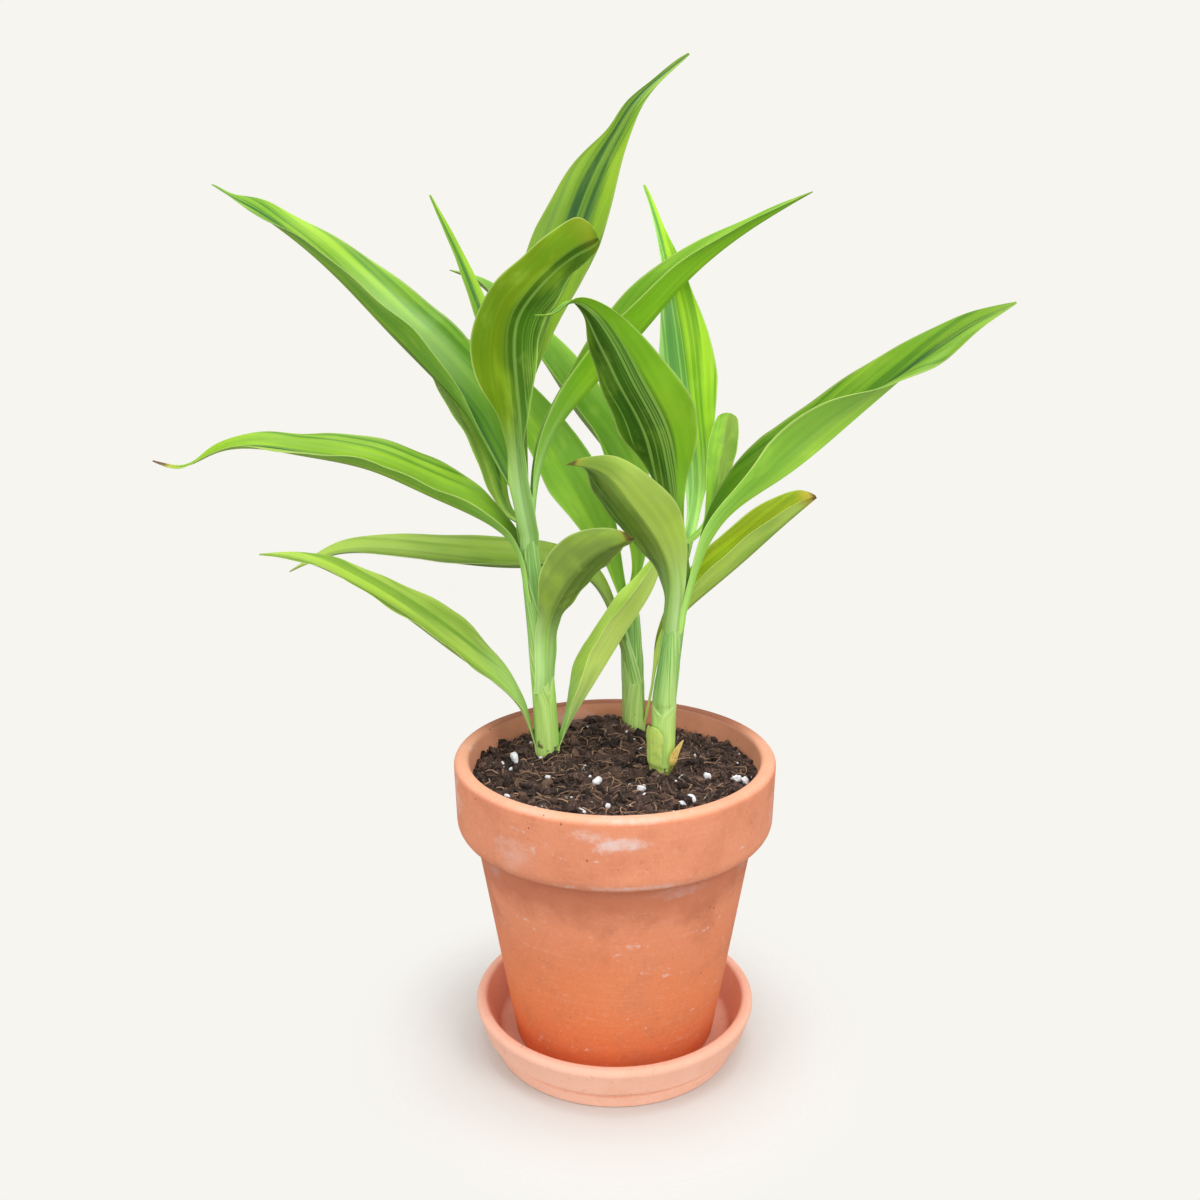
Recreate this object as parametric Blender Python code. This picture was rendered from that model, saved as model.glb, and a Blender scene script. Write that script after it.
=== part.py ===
"""Potted lucky bamboo: three leafy canes in a clay pot that stands in a clay saucer.

Lengths are metres. +Z is up, the saucer's underside is at z = 0 and -Y is the viewed side.
"""
import bpy
import bmesh
import math
import random
import numpy as np

MM = 0.001
GAP = 0.3 * MM               # clear space between neighbouring pieces
SEED = 11
SHARP_ANGLE = math.radians(40)

# Saucer
SAUCER_RADIUS = 69.2 * MM
SAUCER_HEIGHT = 24.8 * MM
SAUCER_BASE_RADIUS = 59.5 * MM
SAUCER_FLOOR = 7.2 * MM
SAUCER_INNER_BASE = 56.2 * MM
SAUCER_RIM_WIDTH = 6.0 * MM
FOOT_HEIGHT = 5.6 * MM
FOOT_GROOVE = 0.7 * MM
SAUCER_SHOULDER = (64.6 * MM, 10.6 * MM)
FOOT_EDGE_BEND = 1.4 * MM    # every ..._BEND is the radius that rounds an edge
FOOT_TOP_BEND = 0.8 * MM
SHOULDER_BEND = 3.0 * MM
SAUCER_RIM_BENDS = (2.2 * MM, 1.6 * MM)
SAUCER_FLOOR_BEND = 3.0 * MM

# Pot
POT_BOTTOM = SAUCER_FLOOR + GAP
POT_TOP = 150.3 * MM
POT_BASE_RADIUS = 48.8 * MM
COLLAR_BOTTOM = 114.0 * MM
COLLAR_RADIUS = 75.5 * MM
COLLAR_FLARE = 1.0 * MM      # how much wider the collar is at the rim than at its lower edge
WALL_UNDER_COLLAR = 66.4 * MM
LIP_INNER_RADIUS = 68.7 * MM
POT_FLOOR_THICKNESS = 7.0 * MM
POT_FLOOR = POT_BOTTOM + POT_FLOOR_THICKNESS
POT_INNER_BASE = 42.6 * MM
DRAIN_RADIUS = 6.5 * MM
POT_FOOT_BEND = 1.6 * MM
WALL_TOP_BEND = 0.4 * MM
COLLAR_LOW_BEND = 7.2 * MM
LIP_BENDS = (2.8 * MM, 1.8 * MM)
POT_FLOOR_BEND = 2.0 * MM
ROUND_STEPS = 56
FILLET_STEPS = 2

# Soil
SOIL_HEIGHT = 141.0 * MM
SOIL_SLOPE = -0.05           # rise per metre along +Y: the soil stands higher at the front
SOIL_RINGS = 14
SOIL_STEPS = 48
SOIL_LUMPS = 80
LUMP_RADIUS = (4.0 * MM, 8.0 * MM)
LUMP_HEIGHT = (-0.8 * MM, 2.2 * MM)
LUMP_SPREAD = 0.4            # how fast a lump falls off: the square of its radius times this
SOIL_SIDE_GAP = 1.2 * GAP
SOIL_MIDDLE = 60.0 * MM      # height of the one ring between the soil's top and its foot
SOIL_FOOT_RISE = 2.0 * MM
SOIL_FOOT_INSET = 2.4 * MM   # keeps the soil's lower edge clear of the pot's rounded floor edge
STEM_FOOT = 128.0 * MM       # height to which the canes reach down in the soil
HOLE_GAP = 1.3 * GAP
HOLE_TOP = SOIL_HEIGHT + 20.0 * MM

# Leaves
BLADE_THICKNESS = 0.9 * MM
STATIONS = 15
HALF_STRIPS = 2              # strips on each side of the midrib
MIDDLE = 0.42                # share of the length at which the mid-blade section is reached
ROLL_MIDDLE = 0.45           # share of the length at which the middle roll is reached
TAPER = 1.8                  # taper power of a leaf that names none
TIP_HALF_WIDTH = 0.6         # millimetres, for a leaf that names none
LEAN_START = 0.2             # share of the length at which a leaf's lean is reached

# Canes: points of the axis as (x, y, z, radius) in millimetres.
STEMS = {
    "stem_left": [(-32, 22, 128, 6.0), (-34, 21, 170, 5.7), (-36, 20, 200, 5.2), (-39, 19, 236, 4.4),
                  (-41, 19, 262, 3.4), (-42, 19, 278, 1.2)],
    "stem_back": [(10, 54, 128, 6.0), (9, 53, 180, 5.6), (8, 52, 202, 4.6), (7, 52, 216, 1.4)],
    "stem_right": [(22, -2, 128, 5.8), (23, -2, 178, 5.5), (26, -2, 206, 5.0), (29, -2, 228, 4.0),
                   (31, -2, 244, 1.4)],
}
STEM_STEPS = 18
STEM_RINGS = 16
SHEATH_EDGES = {"stem_left": (196, 222), "stem_back": (168, 198), "stem_right": (176, 214)}
SHEATH_STEP = 0.35 * MM      # how far a clasping sheath stands out from the cane
SHEATH_LENGTH = 22.0 * MM
SHEATH_END = 0.8 * MM        # length over which a sheath's end steps down

# Each leaf: heading (degrees from +X), widest half width, how much wider its left side is (as a
# share, looking from the cane along the leaf), half width at the base, angle the base wraps on each
# side, share of length where the blade starts and where it is widest, the taper power, half width
# at the tip, roll (base, middle, tip), section angles (at the rib, at the margin) for the middle
# and for the tip, and the midrib path. Millimetres and degrees.
LEAVES = {
    "leaf_left_low": dict(
        heading=184, half=16, lean=-0.16, base=2.6, wrap=24, start=0, widest=0.42, taper=1.5,
        roll=(0, -12, -10), middle=(38, 20), tip=(20, 20),
        path=[(-39.5, 21.2, 145), (-46, 18.5, 166), (-57, 16, 179), (-77, 13, 196), (-100, 9, 216),
              (-126, 5, 234), (-143, 3, 242), (-161, 1, 245)]),
    "leaf_left_high": dict(
        heading=155, half=21.5, lean=-0.18, base=6, wrap=50, start=0, widest=0.4, roll=(0, 4, -8),
        middle=(62, 35), tip=(35, 20),
        path=[(-44.6, 20.6, 267), (-54, 31, 280), (-68, 38, 302), (-85, 45, 320), (-106, 53, 340),
              (-130, 61, 364), (-154, 68, 384), (-193, 80, 408)]),
    "leaf_left_middle": dict(
        heading=180, half=18, base=6, wrap=50, start=0.07, widest=0.38, roll=(0, -12, -16),
        middle=(50, 25), tip=(20, 10),
        path=[(-44, 19, 229), (-46, 19, 242), (-62, 11, 260), (-84, 9, 271), (-110, 7, 283),
              (-141, 5, 290), (-178, 2, 291), (-194, 1, 285), (-205, 0, 288)]),
    "leaf_left_front_low": dict(
        heading=-50, half=15.8, base=6.5, wrap=48, start=0.22, widest=0.6, taper=2.2, end=2.5,
        roll=(0, -25, -40), middle=(20, 40), tip=(20, 60),
        path=[(-31, 15, 184), (-31, 14, 200), (-26, 2, 221), (-18, -10, 237), (-6, -28, 253),
              (7, -44, 263)]),
    "leaf_left_long_right": dict(
        heading=12, half=15.5, base=4.5, wrap=45, start=0, widest=0.42, roll=(0, -6, 0),
        middle=(72, 50), tip=(35, 20),
        path=[(-36, 21, 258), (-35, 22, 276), (-27, 21, 298), (-12, 20, 317), (11, 19, 341.5),
              (30, 20, 363), (57, 22, 385), (86, 25, 402)]),
    "leaf_left_tall": dict(
        heading=72, half=18, base=3.0, wrap=50, start=0.12, widest=0.52, taper=1.1, roll=(0, 0, 25),
        middle=(12, 12), tip=(20, 20),
        path=[(-42, 23, 275), (-42, 32, 311), (-35, 40, 347), (-21.2, 49, 387), (-13.9, 53, 406),
              (-6.1, 57, 421), (0.8, 60, 432), (7.1, 63, 441.5), (20.9, 71, 455), (34, 77, 465)]),
    "leaf_left_front": dict(
        heading=-80, half=15.7, lean=-0.11, base=5, wrap=45, start=0.27, widest=0.58, taper=2, end=5,
        roll=(0, -10, -30), middle=(15, 25), tip=(20, 40),
        path=[(-39, 14, 250), (-43, 9, 278), (-45.5, 6, 316), (-46.4, 2, 338), (-44.5, -2, 349),
              (-38.5, -7, 359), (-30, -11, 368), (-21.5, -15, 375), (-13.6, -18, 380),
              (-7, -20, 382.6)]),
    "leaf_left_narrow": dict(
        heading=130, half=5.5, base=1.6, wrap=30, start=0, widest=0.42, taper=1.4, roll=(60, 0, 0),
        middle=(15, 15), tip=(15, 15),
        path=[(-44.4, 18.5, 273), (-46.5, 19.5, 288), (-54, 27, 326), (-63, 37, 355),
              (-73, 45, 378), (-85, 53, 402)]),
    "leaf_left_under": dict(
        heading=150, half=14, base=4, wrap=50, start=0.05, widest=0.45, roll=(0, 5, 0),
        middle=(30, 10), tip=(20, 10),
        path=[(-44, 22.2, 255), (-52, 32, 258.2), (-62, 40, 280), (-73, 48, 301), (-85, 57, 319),
              (-99, 66, 337)]),
    "leaf_left_foot": dict(
        heading=12, half=15, lean=0.14, base=2.6, wrap=24, start=0, widest=0.48, taper=2.4,
        roll=(0, -15, -10), middle=(60, 40), tip=(50, 30),
        path=[(-26.1, 23, 145), (-21.5, 21, 157), (-15, 18, 170), (-5, 19, 187), (8, 21, 208),
              (17, 24, 222), (24, 30, 238), (28, 33, 246)]),
    "leaf_back_left_low": dict(
        heading=180, half=16, lean=-0.12, base=6, wrap=48, start=0, widest=0.5, roll=(0, -12, -10),
        middle=(40, 20), tip=(25, 10),
        path=[(2, 53, 184), (0, 52, 194), (-17, 42, 226), (-48, 39, 230), (-79, 37, 233),
              (-108, 35, 237), (-131, 33, 238), (-155, 29, 230)]),
    "leaf_back_high": dict(
        heading=160, half=19, base=1.8, wrap=35, start=0, widest=0.45, roll=(-65, -14, 0),
        middle=(50, 30), tip=(30, 20),
        path=[(7.0, 55.3, 212), (10.5, 59, 223), (9, 66, 248), (-3, 72, 279), (-20, 77, 301),
              (-35, 81, 324), (-52, 85, 345), (-67, 89, 361), (-82, 93, 368)]),
    "leaf_back_broad": dict(
        heading=150, half=15, base=4, wrap=45, start=0, widest=0.45, roll=(0, -35, -15),
        middle=(15, 25), tip=(15, 15),
        path=[(4.0, 54.4, 206), (-1, 58, 224), (-11, 56, 249), (-27, 58, 278), (-42, 62, 301),
              (-58, 66, 322), (-72, 71, 336)]),
    "leaf_back_right": dict(
        heading=-12, half=18, lean=0.24, base=2.6, wrap=24, start=0.15, widest=0.66, taper=3, end=6.5,
        roll=(0, 2, 0), middle=(56, 36), tip=(35, 25),
        path=[(16.4, 52.2, 145), (18.8, 50, 163), (23, 47, 186), (31, 45, 202), (43, 43, 215),
              (61, 40, 232), (78, 37, 249), (95, 34, 265)]),
    "leaf_right_long": dict(
        heading=-14, half=21, base=5, wrap=48, start=0.07, widest=0.42, roll=(0, 8, 40),
        middle=(64, 55), tip=(12, 10),
        path=[(33, -4, 218), (36, -4, 234), (49, -8, 264), (72, -13, 283), (98, -17, 306),
              (124, -20, 330), (143, -23, 346), (163, -26, 357)]),
    "leaf_right_front_high": dict(
        heading=-120, half=18.5, base=4, wrap=50, start=0.15, widest=0.48, taper=1.4, roll=(0, 15, 25),
        middle=(12, 20), tip=(20, 40),
        path=[(29.4, -4.9, 240), (24.7, -13, 277.4), (22.7, -16, 289), (19.5, -20, 302), (14.6, -24, 313),
              (7.8, -29, 325.5), (2.8, -33, 335.6), (-3.7, -38, 347), (-10, -42, 354.7), (-17, -45, 358),
              (-24.8, -48, 352.7)]),
    "leaf_right_tall": dict(
        heading=88, half=13.5, base=3.0, wrap=50, start=0.05, widest=0.48, taper=0.95, roll=(0, 0, 0),
        middle=(12, 12), tip=(20, 20),
        path=[(30.7, 0.6, 243), (38, 18, 272), (36, 25, 298), (33, 30, 320), (29, 33, 347),
              (23, 39, 375), (18, 43, 394), (13, 47, 406)]),
    "leaf_right_small": dict(
        heading=75, half=6.5, base=2.0, wrap=60, start=0.1, widest=0.65, end=4, roll=(0, 0, 0),
        middle=(20, 30), tip=(10, 10),
        path=[(40.4, 8, 251), (43.4, 11, 263), (47.3, 14, 282), (51.2, 17, 307)]),
    "leaf_right_front_low": dict(
        heading=-130, half=16.8, lean=-0.08, base=5.6, wrap=56, start=0.1, widest=0.5, end=1.5,
        roll=(0, 30, 35), middle=(15, 30), tip=(20, 50),
        path=[(22.7, -6.9, 212), (25, -12, 239), (17, -21, 260), (6, -33, 277), (-5, -45, 291),
              (-19, -58, 296)]),
    "sheath_cut": dict(
        heading=-135, half=5.5, base=5, wrap=48, start=0, widest=0.5, taper=3, end=2.5,
        roll=(0, 0, 0), middle=(5, 45), tip=(5, 45),
        path=[(17.0, -7.0, 145), (17.0, -7.3, 155), (16.6, -7.9, 166)]),
    "sheath_dry": dict(
        heading=-40, half=3.6, base=2.2, wrap=20, start=0, widest=0.35, roll=(0, 0, 0),
        middle=(30, 30), tip=(20, 20),
        path=[(27.2, -6.2, 145), (28.9, -8.0, 151), (31.5, -10.0, 160)]),
}
LEAF_COLOUR = (0.22, 0.42, 0.05)
UNDER_COLOUR = (0.24, 0.36, 0.08)
COLOURS = {
    "saucer": (0.76, 0.42, 0.28), "pot": (0.69, 0.29, 0.13), "soil": (0.045, 0.028, 0.02),
    "stem": (0.33, 0.56, 0.16), "sheath_cut": (0.5, 0.66, 0.3), "sheath_dry": (0.75, 0.55, 0.12),
}
CLAY_ROUGHNESS = 0.85
SOIL_ROUGHNESS = 0.95
CANE_ROUGHNESS = 0.45
LEAF_ROUGHNESS = 0.4


def clear_scene():
    for obj in list(bpy.data.objects):
        bpy.data.objects.remove(obj, do_unlink=True)


def make_material(name, colour, roughness):
    material = bpy.data.materials.new(name)
    material.use_nodes = True
    shader = material.node_tree.nodes["Principled BSDF"]
    shader.inputs["Base Color"].default_value = (*colour, 1.0)
    shader.inputs["Roughness"].default_value = roughness
    return material


def make_object(name, verts, faces, colour, roughness):
    """Build a closed mesh object with its faces turned outward."""
    mesh = bpy.data.meshes.new(name)
    mesh.from_pydata([tuple(v) for v in verts], [], faces)
    work = bmesh.new()
    work.from_mesh(mesh)
    bmesh.ops.recalc_face_normals(work, faces=work.faces)
    work.to_mesh(mesh)
    work.free()
    mesh.shade_smooth()
    mesh.set_sharp_from_angle(angle=SHARP_ANGLE)
    obj = bpy.data.objects.new(name, mesh)
    bpy.context.collection.objects.link(obj)
    obj.data.materials.append(make_material(name, colour, roughness))
    return obj


def lathe(name, loop, colour, steps=ROUND_STEPS):
    """Turn a closed loop of (radius, z) points about Z; points at radius 0 become one vertex."""
    verts = []
    rows = []
    for radius, z in loop:
        if radius == 0.0:
            rows.append([len(verts)] * steps)
            verts.append((0.0, 0.0, z))
            continue
        rows.append(range(len(verts), len(verts) + steps))
        for k in range(steps):
            angle = 2.0 * math.pi * k / steps
            verts.append((radius * math.cos(angle), radius * math.sin(angle), z))
    faces = []
    for i, row in enumerate(rows):
        above = rows[(i + 1) % len(rows)]
        for k in range(steps):
            j = (k + 1) % steps
            corners = list(dict.fromkeys((row[k], row[j], above[j], above[k])))
            if len(corners) > 2:
                faces.append(corners)
    return make_object(name, verts, faces, colour, CLAY_ROUGHNESS)


def fillet(corner, before, after, radius):
    """Points of the arc that rounds one corner of an outline."""
    corner, before, after = (np.array(p, float) for p in (corner, before, after))
    back = (before - corner) / np.linalg.norm(before - corner)
    ahead = (after - corner) / np.linalg.norm(after - corner)
    half = math.acos(float(np.clip(back @ ahead, -1.0, 1.0))) / 2.0
    centre = corner + (back + ahead) / np.linalg.norm(back + ahead) * radius / math.sin(half)
    first = corner + back * radius / math.tan(half) - centre
    last = corner + ahead * radius / math.tan(half) - centre
    sweep = math.pi - 2.0 * half
    points = []
    for i in range(FILLET_STEPS + 1):
        share = i / FILLET_STEPS
        arm = (math.sin((1.0 - share) * sweep) * first + math.sin(share * sweep) * last) / math.sin(sweep)
        points.append(tuple(centre + arm))
    return points


def rounded(corners):
    """Outline of (radius, z) points from corners given as (radius, z, fillet radius)."""
    loop = []
    for i, (radius, z, bend) in enumerate(corners):
        if bend == 0.0:
            loop.append((radius, z))
            continue
        loop += fillet((radius, z), corners[i - 1][:2], corners[(i + 1) % len(corners)][:2], bend)
    return loop


def saucer_loop():
    foot = SAUCER_BASE_RADIUS
    return rounded([
        (0.0, 0.0, 0.0), (foot, 0.0, FOOT_EDGE_BEND),
        (foot + FOOT_GROOVE, FOOT_HEIGHT, FOOT_TOP_BEND), (foot, FOOT_HEIGHT + FOOT_GROOVE, 0.0),
        (*SAUCER_SHOULDER, SHOULDER_BEND), (SAUCER_RADIUS, SAUCER_HEIGHT, SAUCER_RIM_BENDS[0]),
        (SAUCER_RADIUS - SAUCER_RIM_WIDTH, SAUCER_HEIGHT, SAUCER_RIM_BENDS[1]),
        (SAUCER_INNER_BASE, SAUCER_FLOOR, SAUCER_FLOOR_BEND), (0.0, SAUCER_FLOOR, 0.0)])


def pot_inner_radius(z):
    share = (z - POT_FLOOR) / (POT_TOP - POT_FLOOR)
    return POT_INNER_BASE + (LIP_INNER_RADIUS - POT_INNER_BASE) * share


def pot_loop():
    return rounded([
        (DRAIN_RADIUS, POT_BOTTOM, 0.0), (POT_BASE_RADIUS, POT_BOTTOM, POT_FOOT_BEND),
        (WALL_UNDER_COLLAR, COLLAR_BOTTOM, WALL_TOP_BEND),
        (COLLAR_RADIUS - COLLAR_FLARE, COLLAR_BOTTOM, COLLAR_LOW_BEND),
        (COLLAR_RADIUS, POT_TOP, LIP_BENDS[0]), (LIP_INNER_RADIUS, POT_TOP, LIP_BENDS[1]),
        (POT_INNER_BASE, POT_FLOOR, POT_FLOOR_BEND), (DRAIN_RADIUS, POT_FLOOR, 0.0)])


def soil_lumps():
    rng = random.Random(SEED)
    lumps = []
    for _ in range(SOIL_LUMPS):
        reach = LIP_INNER_RADIUS * math.sqrt(rng.random())
        angle = rng.uniform(0.0, 2.0 * math.pi)
        lumps.append((reach * math.cos(angle), reach * math.sin(angle), rng.uniform(*LUMP_RADIUS),
                      rng.uniform(*LUMP_HEIGHT)))
    return lumps


def soil_top(x, y, lumps):
    z = SOIL_HEIGHT + SOIL_SLOPE * y
    for cx, cy, radius, height in lumps:
        z += height * math.exp(-((x - cx) ** 2 + (y - cy) ** 2) / (LUMP_SPREAD * radius * radius))
    return z


def soil_top_point(angle, share, lumps):
    """Point of the soil's surface at a share of the way from the middle to the pot's wall."""
    level = SOIL_HEIGHT + SOIL_SLOPE * LIP_INNER_RADIUS * math.sin(angle)
    reach = share * (pot_inner_radius(level) - SOIL_SIDE_GAP)
    x = reach * math.cos(angle)
    y = reach * math.sin(angle)
    z = soil_top(x, y, lumps)
    if share == 1.0:
        reach = pot_inner_radius(z) - SOIL_SIDE_GAP
        x = reach * math.cos(angle)
        y = reach * math.sin(angle)
    return x, y, z


def soil_body():
    """Fill the pot up to a lumpy top, a little clear of the clay."""
    lumps = soil_lumps()
    angles = [2.0 * math.pi * k / SOIL_STEPS for k in range(SOIL_STEPS)]
    verts = [(0.0, 0.0, soil_top(0.0, 0.0, lumps))]
    for i in range(1, SOIL_RINGS + 1):
        verts += [soil_top_point(angle, i / SOIL_RINGS, lumps) for angle in angles]
    foot = POT_FLOOR + GAP
    lower = [(SOIL_MIDDLE, SOIL_SIDE_GAP), (foot + SOIL_FOOT_RISE, SOIL_SIDE_GAP), (foot, SOIL_FOOT_INSET)]
    for z, inset in lower:
        radius = pot_inner_radius(z) - inset
        verts += [(radius * math.cos(angle), radius * math.sin(angle), z) for angle in angles]
    rings = SOIL_RINGS + len(lower)
    faces = []
    for k in range(SOIL_STEPS):
        j = (k + 1) % SOIL_STEPS
        faces.append((0, 1 + k, 1 + j))
        for i in range(rings - 1):
            low = 1 + i * SOIL_STEPS
            high = low + SOIL_STEPS
            faces.append((low + k, high + k, high + j, low + j))
    last = 1 + (rings - 1) * SOIL_STEPS
    faces.append(tuple(range(last, last + SOIL_STEPS)))
    return make_object("soil", verts, faces, COLOURS["soil"], SOIL_ROUGHNESS)


def stem_radius_at(name, z):
    points = STEMS[name]
    return MM * np.interp(z / MM, [p[2] for p in points], [p[3] for p in points])


def stem_centre_at(name, z):
    points = STEMS[name]
    heights = [p[2] for p in points]
    return [MM * np.interp(z / MM, heights, [p[k] for p in points]) for k in (0, 1)]


def stem(name):
    """Loft one cane; each sheath that ends part way up leaves a small step in the radius."""
    low = STEMS[name][0][2] * MM
    high = STEMS[name][-1][2] * MM
    levels = [low + (high - low) * i / (STEM_RINGS - 1) for i in range(STEM_RINGS)]
    for edge in SHEATH_EDGES[name]:
        levels += [edge * MM, edge * MM + SHEATH_END]
    levels = sorted(levels)
    verts = []
    for z in levels:
        radius = stem_radius_at(name, z)
        if any(edge * MM - SHEATH_LENGTH < z <= edge * MM for edge in SHEATH_EDGES[name]):
            radius += SHEATH_STEP
        cx, cy = stem_centre_at(name, z)
        for k in range(STEM_STEPS):
            angle = 2.0 * math.pi * k / STEM_STEPS
            verts.append((cx + radius * math.cos(angle), cy + radius * math.sin(angle), z))
    faces = [tuple(range(STEM_STEPS))]
    for i in range(len(levels) - 1):
        for k in range(STEM_STEPS):
            j = (k + 1) % STEM_STEPS
            row = i * STEM_STEPS
            faces.append((row + k, row + j, row + STEM_STEPS + j, row + STEM_STEPS + k))
    faces.append(tuple(range((len(levels) - 1) * STEM_STEPS, len(levels) * STEM_STEPS)))
    return make_object(name, verts, faces, COLOURS["stem"], CANE_ROUGHNESS)


def smooth_path(points, count):
    """Natural cubic spline through the points, sampled evenly by chord length."""
    points = np.asarray(points, float) * MM
    chord = np.linalg.norm(np.diff(points, axis=0), axis=1)
    knots = np.concatenate([[0.0], np.cumsum(chord)])
    size = len(points)
    matrix = np.eye(size)
    right = np.zeros((size, 3))
    for i in range(1, size - 1):
        matrix[i, i - 1:i + 2] = (chord[i - 1], 2.0 * (chord[i - 1] + chord[i]), chord[i])
        ahead = (points[i + 1] - points[i]) / chord[i]
        right[i] = 6.0 * (ahead - (points[i] - points[i - 1]) / chord[i - 1])
    bend = np.linalg.solve(matrix, right)
    s = np.linspace(0.0, knots[-1], count)
    i = np.clip(np.searchsorted(knots, s, side="right") - 1, 0, size - 2)
    a = ((knots[i + 1] - s) / chord[i])[:, None]
    b = 1.0 - a
    square = (chord[i] ** 2)[:, None] / 6.0
    curve = ((a ** 3 - a) * bend[i] + (b ** 3 - b) * bend[i + 1]) * square
    return a * points[i] + b * points[i + 1] + curve


def blade_frame(path, heading, roll, t):
    """Side and upper-face directions along the midrib."""
    tangent = np.gradient(path, axis=0)
    tangent /= np.linalg.norm(tangent, axis=1)[:, None]
    angle = math.radians(heading)
    level = np.array([-math.sin(angle), math.cos(angle), 0.0])
    side = level - tangent * (tangent @ level)[:, None]
    side /= np.linalg.norm(side, axis=1)[:, None]
    upper = np.cross(tangent, side)
    turn = np.radians(np.interp(t, [0.0, ROLL_MIDDLE, 1.0], roll))[:, None]
    return side * np.cos(turn) + upper * np.sin(turn), upper * np.cos(turn) - side * np.sin(turn)


def half_width(leaf, t):
    start, widest, full = leaf["start"], leaf["widest"], leaf["half"]
    rise = np.clip((t - start) / (widest - start), 0.0, 1.0)
    rise = rise * rise * (3.0 - 2.0 * rise)
    fall = np.clip((t - widest) / (1.0 - widest), 0.0, 1.0)
    growing = leaf["base"] + (full - leaf["base"]) * rise
    ending = full * (1.0 - fall ** leaf.get("taper", TAPER)) + leaf.get("end", TIP_HALF_WIDTH) * fall
    return MM * np.where(t < widest, growing, ending)


def blade_grid(leaf, stations, strips):
    """Points of the blade's middle surface, stations by (2 * strips + 1)."""
    path = smooth_path(leaf["path"], stations)
    t = np.linspace(0.0, 1.0, stations)
    side, upper = blade_frame(path, leaf["heading"], leaf["roll"], t)
    width = half_width(leaf, t)
    lean = leaf.get("lean", 0.0) * np.clip(t / LEAN_START, 0.0, 1.0)
    rib = np.radians(np.interp(t, [0.0, MIDDLE, 1.0], (0.0, leaf["middle"][0], leaf["tip"][0])))
    edge = np.radians(np.interp(t, [0.0, MIDDLE, 1.0], (leaf["wrap"], leaf["middle"][1], leaf["tip"][1])))
    grid = np.zeros((stations, 2 * strips + 1, 3))
    grid[:, strips] = path
    for sign in (1, -1):
        step = width * (1.0 + sign * lean) / strips
        out = np.zeros(stations)
        rise = np.zeros(stations)
        for k in range(strips):
            angle = rib + (edge - rib) * (k + 0.5) / strips
            out = out + step * np.cos(angle)
            rise = rise + step * np.sin(angle)
            grid[:, strips + sign * (k + 1)] = path + side * (sign * out)[:, None] + upper * rise[:, None]
    return grid


def thicken(grid, thickness):
    """Close a grid of points into a thin plate with the same diagonals on both faces."""
    along = np.gradient(grid, axis=0)
    across = np.gradient(grid, axis=1)
    normal = np.cross(along, across)
    normal /= np.linalg.norm(normal, axis=2)[:, :, None]
    rows, columns = grid.shape[:2]
    verts = np.concatenate([(grid + normal * thickness / 2).reshape(-1, 3),
                            (grid - normal * thickness / 2).reshape(-1, 3)])
    under = rows * columns
    faces = []
    for i in range(rows - 1):
        for j in range(columns - 1):
            a, b = i * columns + j, i * columns + j + 1
            c, d = b + columns, a + columns
            faces += [(a, b, c), (a, c, d)]
            faces += [(under + a, under + c, under + b), (under + a, under + d, under + c)]
    border = list(range(columns))
    border += [i * columns + columns - 1 for i in range(1, rows)]
    border += [(rows - 1) * columns + j for j in range(columns - 2, -1, -1)]
    border += [i * columns for i in range(rows - 2, 0, -1)]
    for a, b in zip(border, border[1:] + border[:1]):
        faces += [(a, under + a, under + b), (a, under + b, b)]
    return verts, faces


def leaf(name):
    rows = STATIONS if name.startswith("leaf") else STATIONS // 2
    verts, faces = thicken(blade_grid(LEAVES[name], rows, HALF_STRIPS), BLADE_THICKNESS)
    colour = COLOURS.get(name, UNDER_COLOUR if "front" in name else LEAF_COLOUR)
    return make_object(name, verts, faces, colour, LEAF_ROUGHNESS)


def cut_stem_holes(soil):
    """Open one plain round hole in the soil for each cane."""
    for name, points in STEMS.items():
        verts = []
        for z in (STEM_FOOT - GAP, HOLE_TOP):
            cx, cy = stem_centre_at(name, z)
            for k in range(STEM_STEPS):
                angle = 2.0 * math.pi * k / STEM_STEPS
                reach = points[0][3] * MM + HOLE_GAP
                verts.append((cx + reach * math.cos(angle), cy + reach * math.sin(angle), z))
        faces = [tuple(range(STEM_STEPS)), tuple(range(STEM_STEPS, 2 * STEM_STEPS))]
        for k in range(STEM_STEPS):
            j = (k + 1) % STEM_STEPS
            faces.append((k, j, STEM_STEPS + j, STEM_STEPS + k))
        cutter = make_object("hole_" + name, verts, faces, COLOURS["soil"], SOIL_ROUGHNESS)
        cutter.hide_render = True
        cutter.display_type = "WIRE"
        cut = soil.modifiers.new("hole_" + name, "BOOLEAN")
        cut.operation = "DIFFERENCE"
        cut.solver = "EXACT"
        cut.object = cutter


def main():
    clear_scene()
    lathe("saucer", saucer_loop(), COLOURS["saucer"])
    lathe("pot", pot_loop(), COLOURS["pot"])
    cut_stem_holes(soil_body())
    for name in STEMS:
        stem(name)
    for name in LEAVES:
        leaf(name)


main()
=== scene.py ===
"""Looks of the potted lucky bamboo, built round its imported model.

The frame is in metres. STEMS and LEAVES repeat the solids' own values in millimetres and degrees.
Every solid is replaced by a finer piece of the same form: blades with veins and waved margins,
canes with the margins of their sheaths, turned clay, and soil with crumbs, fibres and perlite.
"""
import math
import random

import bmesh
import bpy
import numpy as np
from mathutils import Matrix, Vector


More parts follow.
